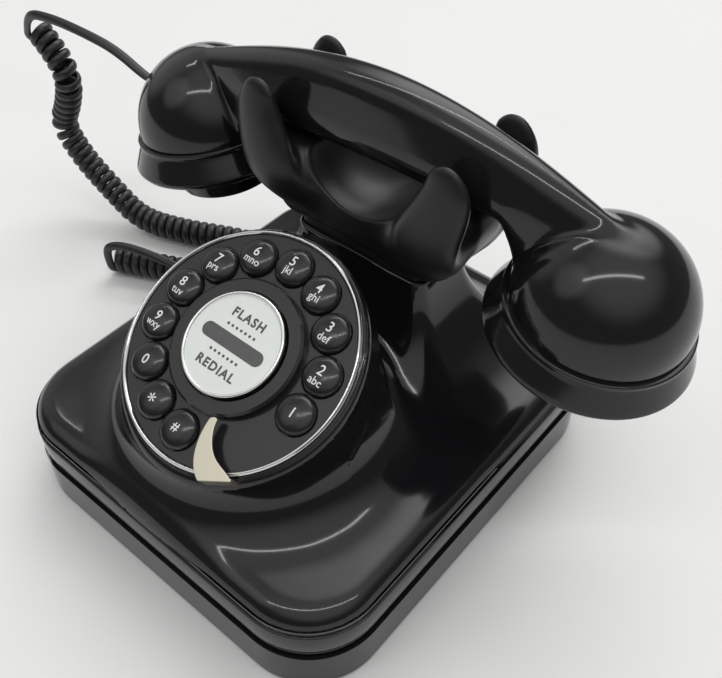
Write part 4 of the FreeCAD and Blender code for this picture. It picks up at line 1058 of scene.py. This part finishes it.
for label in ("Inner", "Outer"):
    circle = tree.new("GeometryNodeMeshCircle")
    copies = tree.new("GeometryNodeInstanceOnPoints")
    hole_rings.links.new(source.outputs[label + " Count"], circle.inputs["Vertices"])
    hole_rings.links.new(source.outputs[label + " Ring"], circle.inputs["Radius"])
    hole_rings.links.new(circle.outputs["Mesh"], copies.inputs["Points"])
    hole_rings.links.new(drill.outputs["Mesh"], copies.inputs["Instance"])
    hole_rings.links.new(copies.outputs["Instances"], gathered.inputs["Geometry"])
plain = tree.new("GeometryNodeRealizeInstances")
painted = tree.new("GeometryNodeSetMaterial")
painted.inputs["Material"].default_value = gloss_black
hole_rings.links.new(gathered.outputs["Geometry"], plain.inputs["Geometry"])
hole_rings.links.new(plain.outputs["Geometry"], painted.inputs["Geometry"])
hole_rings.links.new(painted.outputs["Geometry"], result.inputs["Geometry"])


def filled(outline, step):
    """Outline with more points along its long stretches."""
    points = [outline[0]]
    for a, b in zip(outline, outline[1:]):
        count = max(1, math.ceil((b - a).length / step))
        points += [a.lerp(b, (k + 1) / count) for k in range(count)]
    return points


def drilled_cap(name, side, outline, holes):
    """Turned cap with its holes cut through the face, at one end of the lying handset."""
    place = lying @ Matrix.Translation((side * end_place, neck_mid_y, cap_level))
    place = place @ Matrix.Rotation(side * cap_tilt, 4, "Y")
    cap = new_piece(name, lathe(name, filled(eased(outline, 0.0006), 0.0015), Matrix(), 96))
    drills = grown(name + "_drills", hole_rings, holes)
    drills.data.transform(Matrix.Translation((0, 0, -cap_band - cap_crown)))
    cut = cap.modifiers.new("holes", "BOOLEAN")
    cut.object = drills
    cut.solver = "EXACT"
    ready = cap.evaluated_get(bpy.context.evaluated_depsgraph_get())
    mesh = bpy.data.meshes.new_from_object(ready)
    cap.modifiers.clear()
    cap.data = mesh
    bpy.data.objects.remove(drills)
    mesh.transform(place)
    mesh.shade_smooth()
    mesh.set_sharp_from_angle(angle=math.radians(40))
    return cap


ear_cap = drilled_cap("ear_cap_turned", 1, [cap_middle, *cap_rim],
                      {"Inner Count": 6, "Inner Ring": 0.0060, "Outer Count": 12, "Outer Ring": 0.0115})
settle(ear_cap, "handset", "black_gloss", gloss_black, "ear_cap")
mouth_cap = drilled_cap("mouth_cap_turned", -1, [cap_middle, *mouth_cup, *cap_rim],
                        {"Inner Count": 6, "Inner Ring": 0.0050, "Outer Count": 10, "Outer Ring": 0.0100})
settle(mouth_cap, "handset", "black_gloss", gloss_black, "mouth_cap")


# Handset cord: a flat four-wire lead that is plain at both ends and curled between them.
# It leaves a modular plug in the mouth end, hangs in curls to the table and goes into the base's left side.

def cord_jacket(flow, place):
    scuff = noise(flow, place, 500.0, 3.0)
    return {
        "Base Color": tint(flow, scuff, (0.010, 0.010, 0.011), (0.024, 0.024, 0.025)),
        "Roughness": scuff * 0.18 + 0.30,
        "Normal": bump(flow, scuff, 0.00004),
    }


satin_jacket = finish_material("cord_jacket", cord_jacket)
coil_route = [
    (-0.1930, 0.0330, 0.0930), (-0.1840, 0.0330, 0.0870), (-0.1765, 0.0330, 0.0750),
    (-0.1830, 0.0330, 0.0590), (-0.1925, 0.0330, 0.0455), (-0.1830, 0.0335, 0.0305),
    (-0.1650, 0.0350, 0.0175), (-0.1490, 0.0365, 0.0072), (-0.1270, 0.0435, 0.0070),
    (-0.1050, 0.0544, 0.0070), (-0.0935, 0.0590, 0.0070), (-0.0845, 0.0525, 0.0070),
    (-0.0835, 0.0410, 0.0070), (-0.0915, 0.0302, 0.0070), (-0.1080, 0.0230, 0.0070),
    (-0.1220, 0.0163, 0.0070), (-0.1360, 0.0095, 0.0070),
]
handset_tail_route = [
    (-0.1370, 0.0335, 0.1024), (-0.1550, 0.0314, 0.1048), (-0.1735, 0.0292, 0.1058),
]
base_tail_route = [
    (-0.1294, 0.0076, 0.0202), (-0.1190, 0.0124, 0.0196), (-0.1060, 0.0174, 0.0166),
    (-0.0940, 0.0212, 0.0124),
]
handset_exit = lying @ Vector((-0.1165, 0.0355, 0.0987))
handset_lead = lying @ Vector((-0.1225, 0.0355, 0.0987))
base_entry = Vector((-0.0800, 0.0230, 0.0096))
base_lead = base_entry - Vector((0.005, 0, 0))
curl_radius = 0.0048
curl_pitch = 0.0042
curl_inner_pitch = 0.0036
curl_half = (0.0013, 0.00195)
tail_half = (0.00115, 0.0020)


def smooth_line(route, per_run):
    """Points along a smooth line that takes a route as its control points."""
    data = bpy.data.curves.new("route", "CURVE")
    data.dimensions = "3D"
    data.resolution_u = per_run
    spline = data.splines.new("NURBS")
    spline.points.add(len(route) - 1)
    for mark, place in zip(spline.points, route):
        mark.co = (*place, 1)
    spline.order_u = 3
    spline.use_endpoint_u = True
    spline.resolution_u = per_run
    holder = bpy.data.objects.new("route", data)
    mesh = bpy.data.meshes.new_from_object(holder)
    points = np.array([v.co[:] for v in mesh.vertices])
    bpy.data.objects.remove(holder)
    bpy.data.curves.remove(data)
    bpy.data.meshes.remove(mesh)
    return points


def unit(rows):
    return rows / np.linalg.norm(rows, axis=-1, keepdims=True)


def run_along(points):
    return np.concatenate([[0], np.cumsum(np.linalg.norm(np.diff(points, axis=0), axis=1))])


axis_points = smooth_line(coil_route, 40)
axis_run = run_along(axis_points)
axis_heads = unit(np.gradient(axis_points, axis_run, axis=0))
axis_bends = np.linalg.norm(np.gradient(axis_heads, axis_run, axis=0), axis=1)
axis_sides = [np.array((0.0, -1.0, 0.0))]
for head in axis_heads[1:]:
    axis_sides.append(unit(axis_sides[-1] - head * axis_sides[-1].dot(head)))
axis_sides = np.array(axis_sides)
local_pitch = np.maximum(curl_pitch, curl_inner_pitch / (1 - curl_radius * axis_bends[1:]))
axis_turns = np.concatenate([[0], np.cumsum(np.diff(axis_run) / local_pitch)])
curl_turns = math.floor(axis_turns[-1]) + 0.5
axis_turns *= curl_turns / axis_turns[-1]
marks = np.linspace(0, curl_turns, int(curl_turns * 22) + 1)


def at_marks(rows):
    return np.stack([np.interp(marks, axis_turns, rows[:, k]) for k in range(3)], -1)


curl_heads = unit(at_marks(axis_heads))
curl_sides = at_marks(axis_sides)
curl_angles = (2 * math.pi * marks)[:, None]
curl_out = unit(curl_sides * np.cos(curl_angles) + np.cross(curl_heads, curl_sides) * np.sin(curl_angles))
curl_points = at_marks(axis_points) + curl_out * curl_radius
coil_start = Vector(curl_points[0])
coil_start_head = (Vector(curl_points[1]) - coil_start).normalized()
coil_end = Vector(curl_points[-1])
coil_end_head = (coil_end - Vector(curl_points[-2])).normalized()
before_coil = coil_start - coil_start_head * 0.013
after_coil = coil_end + coil_end_head * 0.0086
first_tail = smooth_line([handset_exit, handset_lead, *handset_tail_route, before_coil, coil_start], 16)
last_tail = smooth_line([coil_end, after_coil, *base_tail_route, base_lead, base_entry], 16)
share = np.linspace(0, 1, len(first_tail))[:, None]
first_out = np.array((0.0, 0.0, 1.0)) * (1 - share) + curl_out[0] * share
share = np.linspace(0, 1, len(last_tail))[:, None]
last_out = curl_out[-1] * (1 - share) + np.array((0.0, 0.0, 1.0)) * share
cord_points = np.concatenate([first_tail[:-1], curl_points, last_tail[1:]])
cord_out = np.concatenate([first_out[:-1], curl_out, last_out[1:]])
curled = np.concatenate([
    np.zeros(len(first_tail) - 1), np.ones(len(curl_points)), np.zeros(len(last_tail) - 1),
])
cord_heads = unit(np.gradient(cord_points, axis=0))
cord_out = unit(cord_out - cord_heads * (cord_out * cord_heads).sum(-1, keepdims=True))
cord_across = np.cross(cord_heads, cord_out)
cord_sides = 10
cord_rings = []
for point, out, across, share in zip(cord_points, cord_out, cord_across, curled):
    thick = curl_half[0] * share + tail_half[0] * (1 - share)
    wide = curl_half[1] * share + tail_half[1] * (1 - share)
    ring = []
    for k in range(cord_sides):
        angle = 2 * math.pi * k / cord_sides
        ring.append(Vector(point + out * thick * math.cos(angle) + across * wide * math.sin(angle)))
    cord_rings.append(ring)
cord = new_piece("handset_cord", strip_mesh("handset_cord", cord_rings, capped=True))
cord.data.materials.append(satin_jacket)
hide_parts("cord_tail_handset", "cord_coil", "cord_tail_base")
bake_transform(cord)


def smoky_plastic(flow, place):
    cloud = noise(flow, place, 300.0)
    return {
        "Base Color": tint(flow, cloud, (0.03, 0.03, 0.03), (0.06, 0.06, 0.058)),
        "Roughness": cloud * 0.1 + 0.12,
    }


plug_plastic = finish_material("smoky_plug", smoky_plastic, Transmission_Weight=0.25)
for node, body in (("cord_plug_handset", "handset"), ("cord_plug_base", "base")):
    settle(dressed(node, edge=0.0004), body, "plug_plastic", plug_plastic, node)
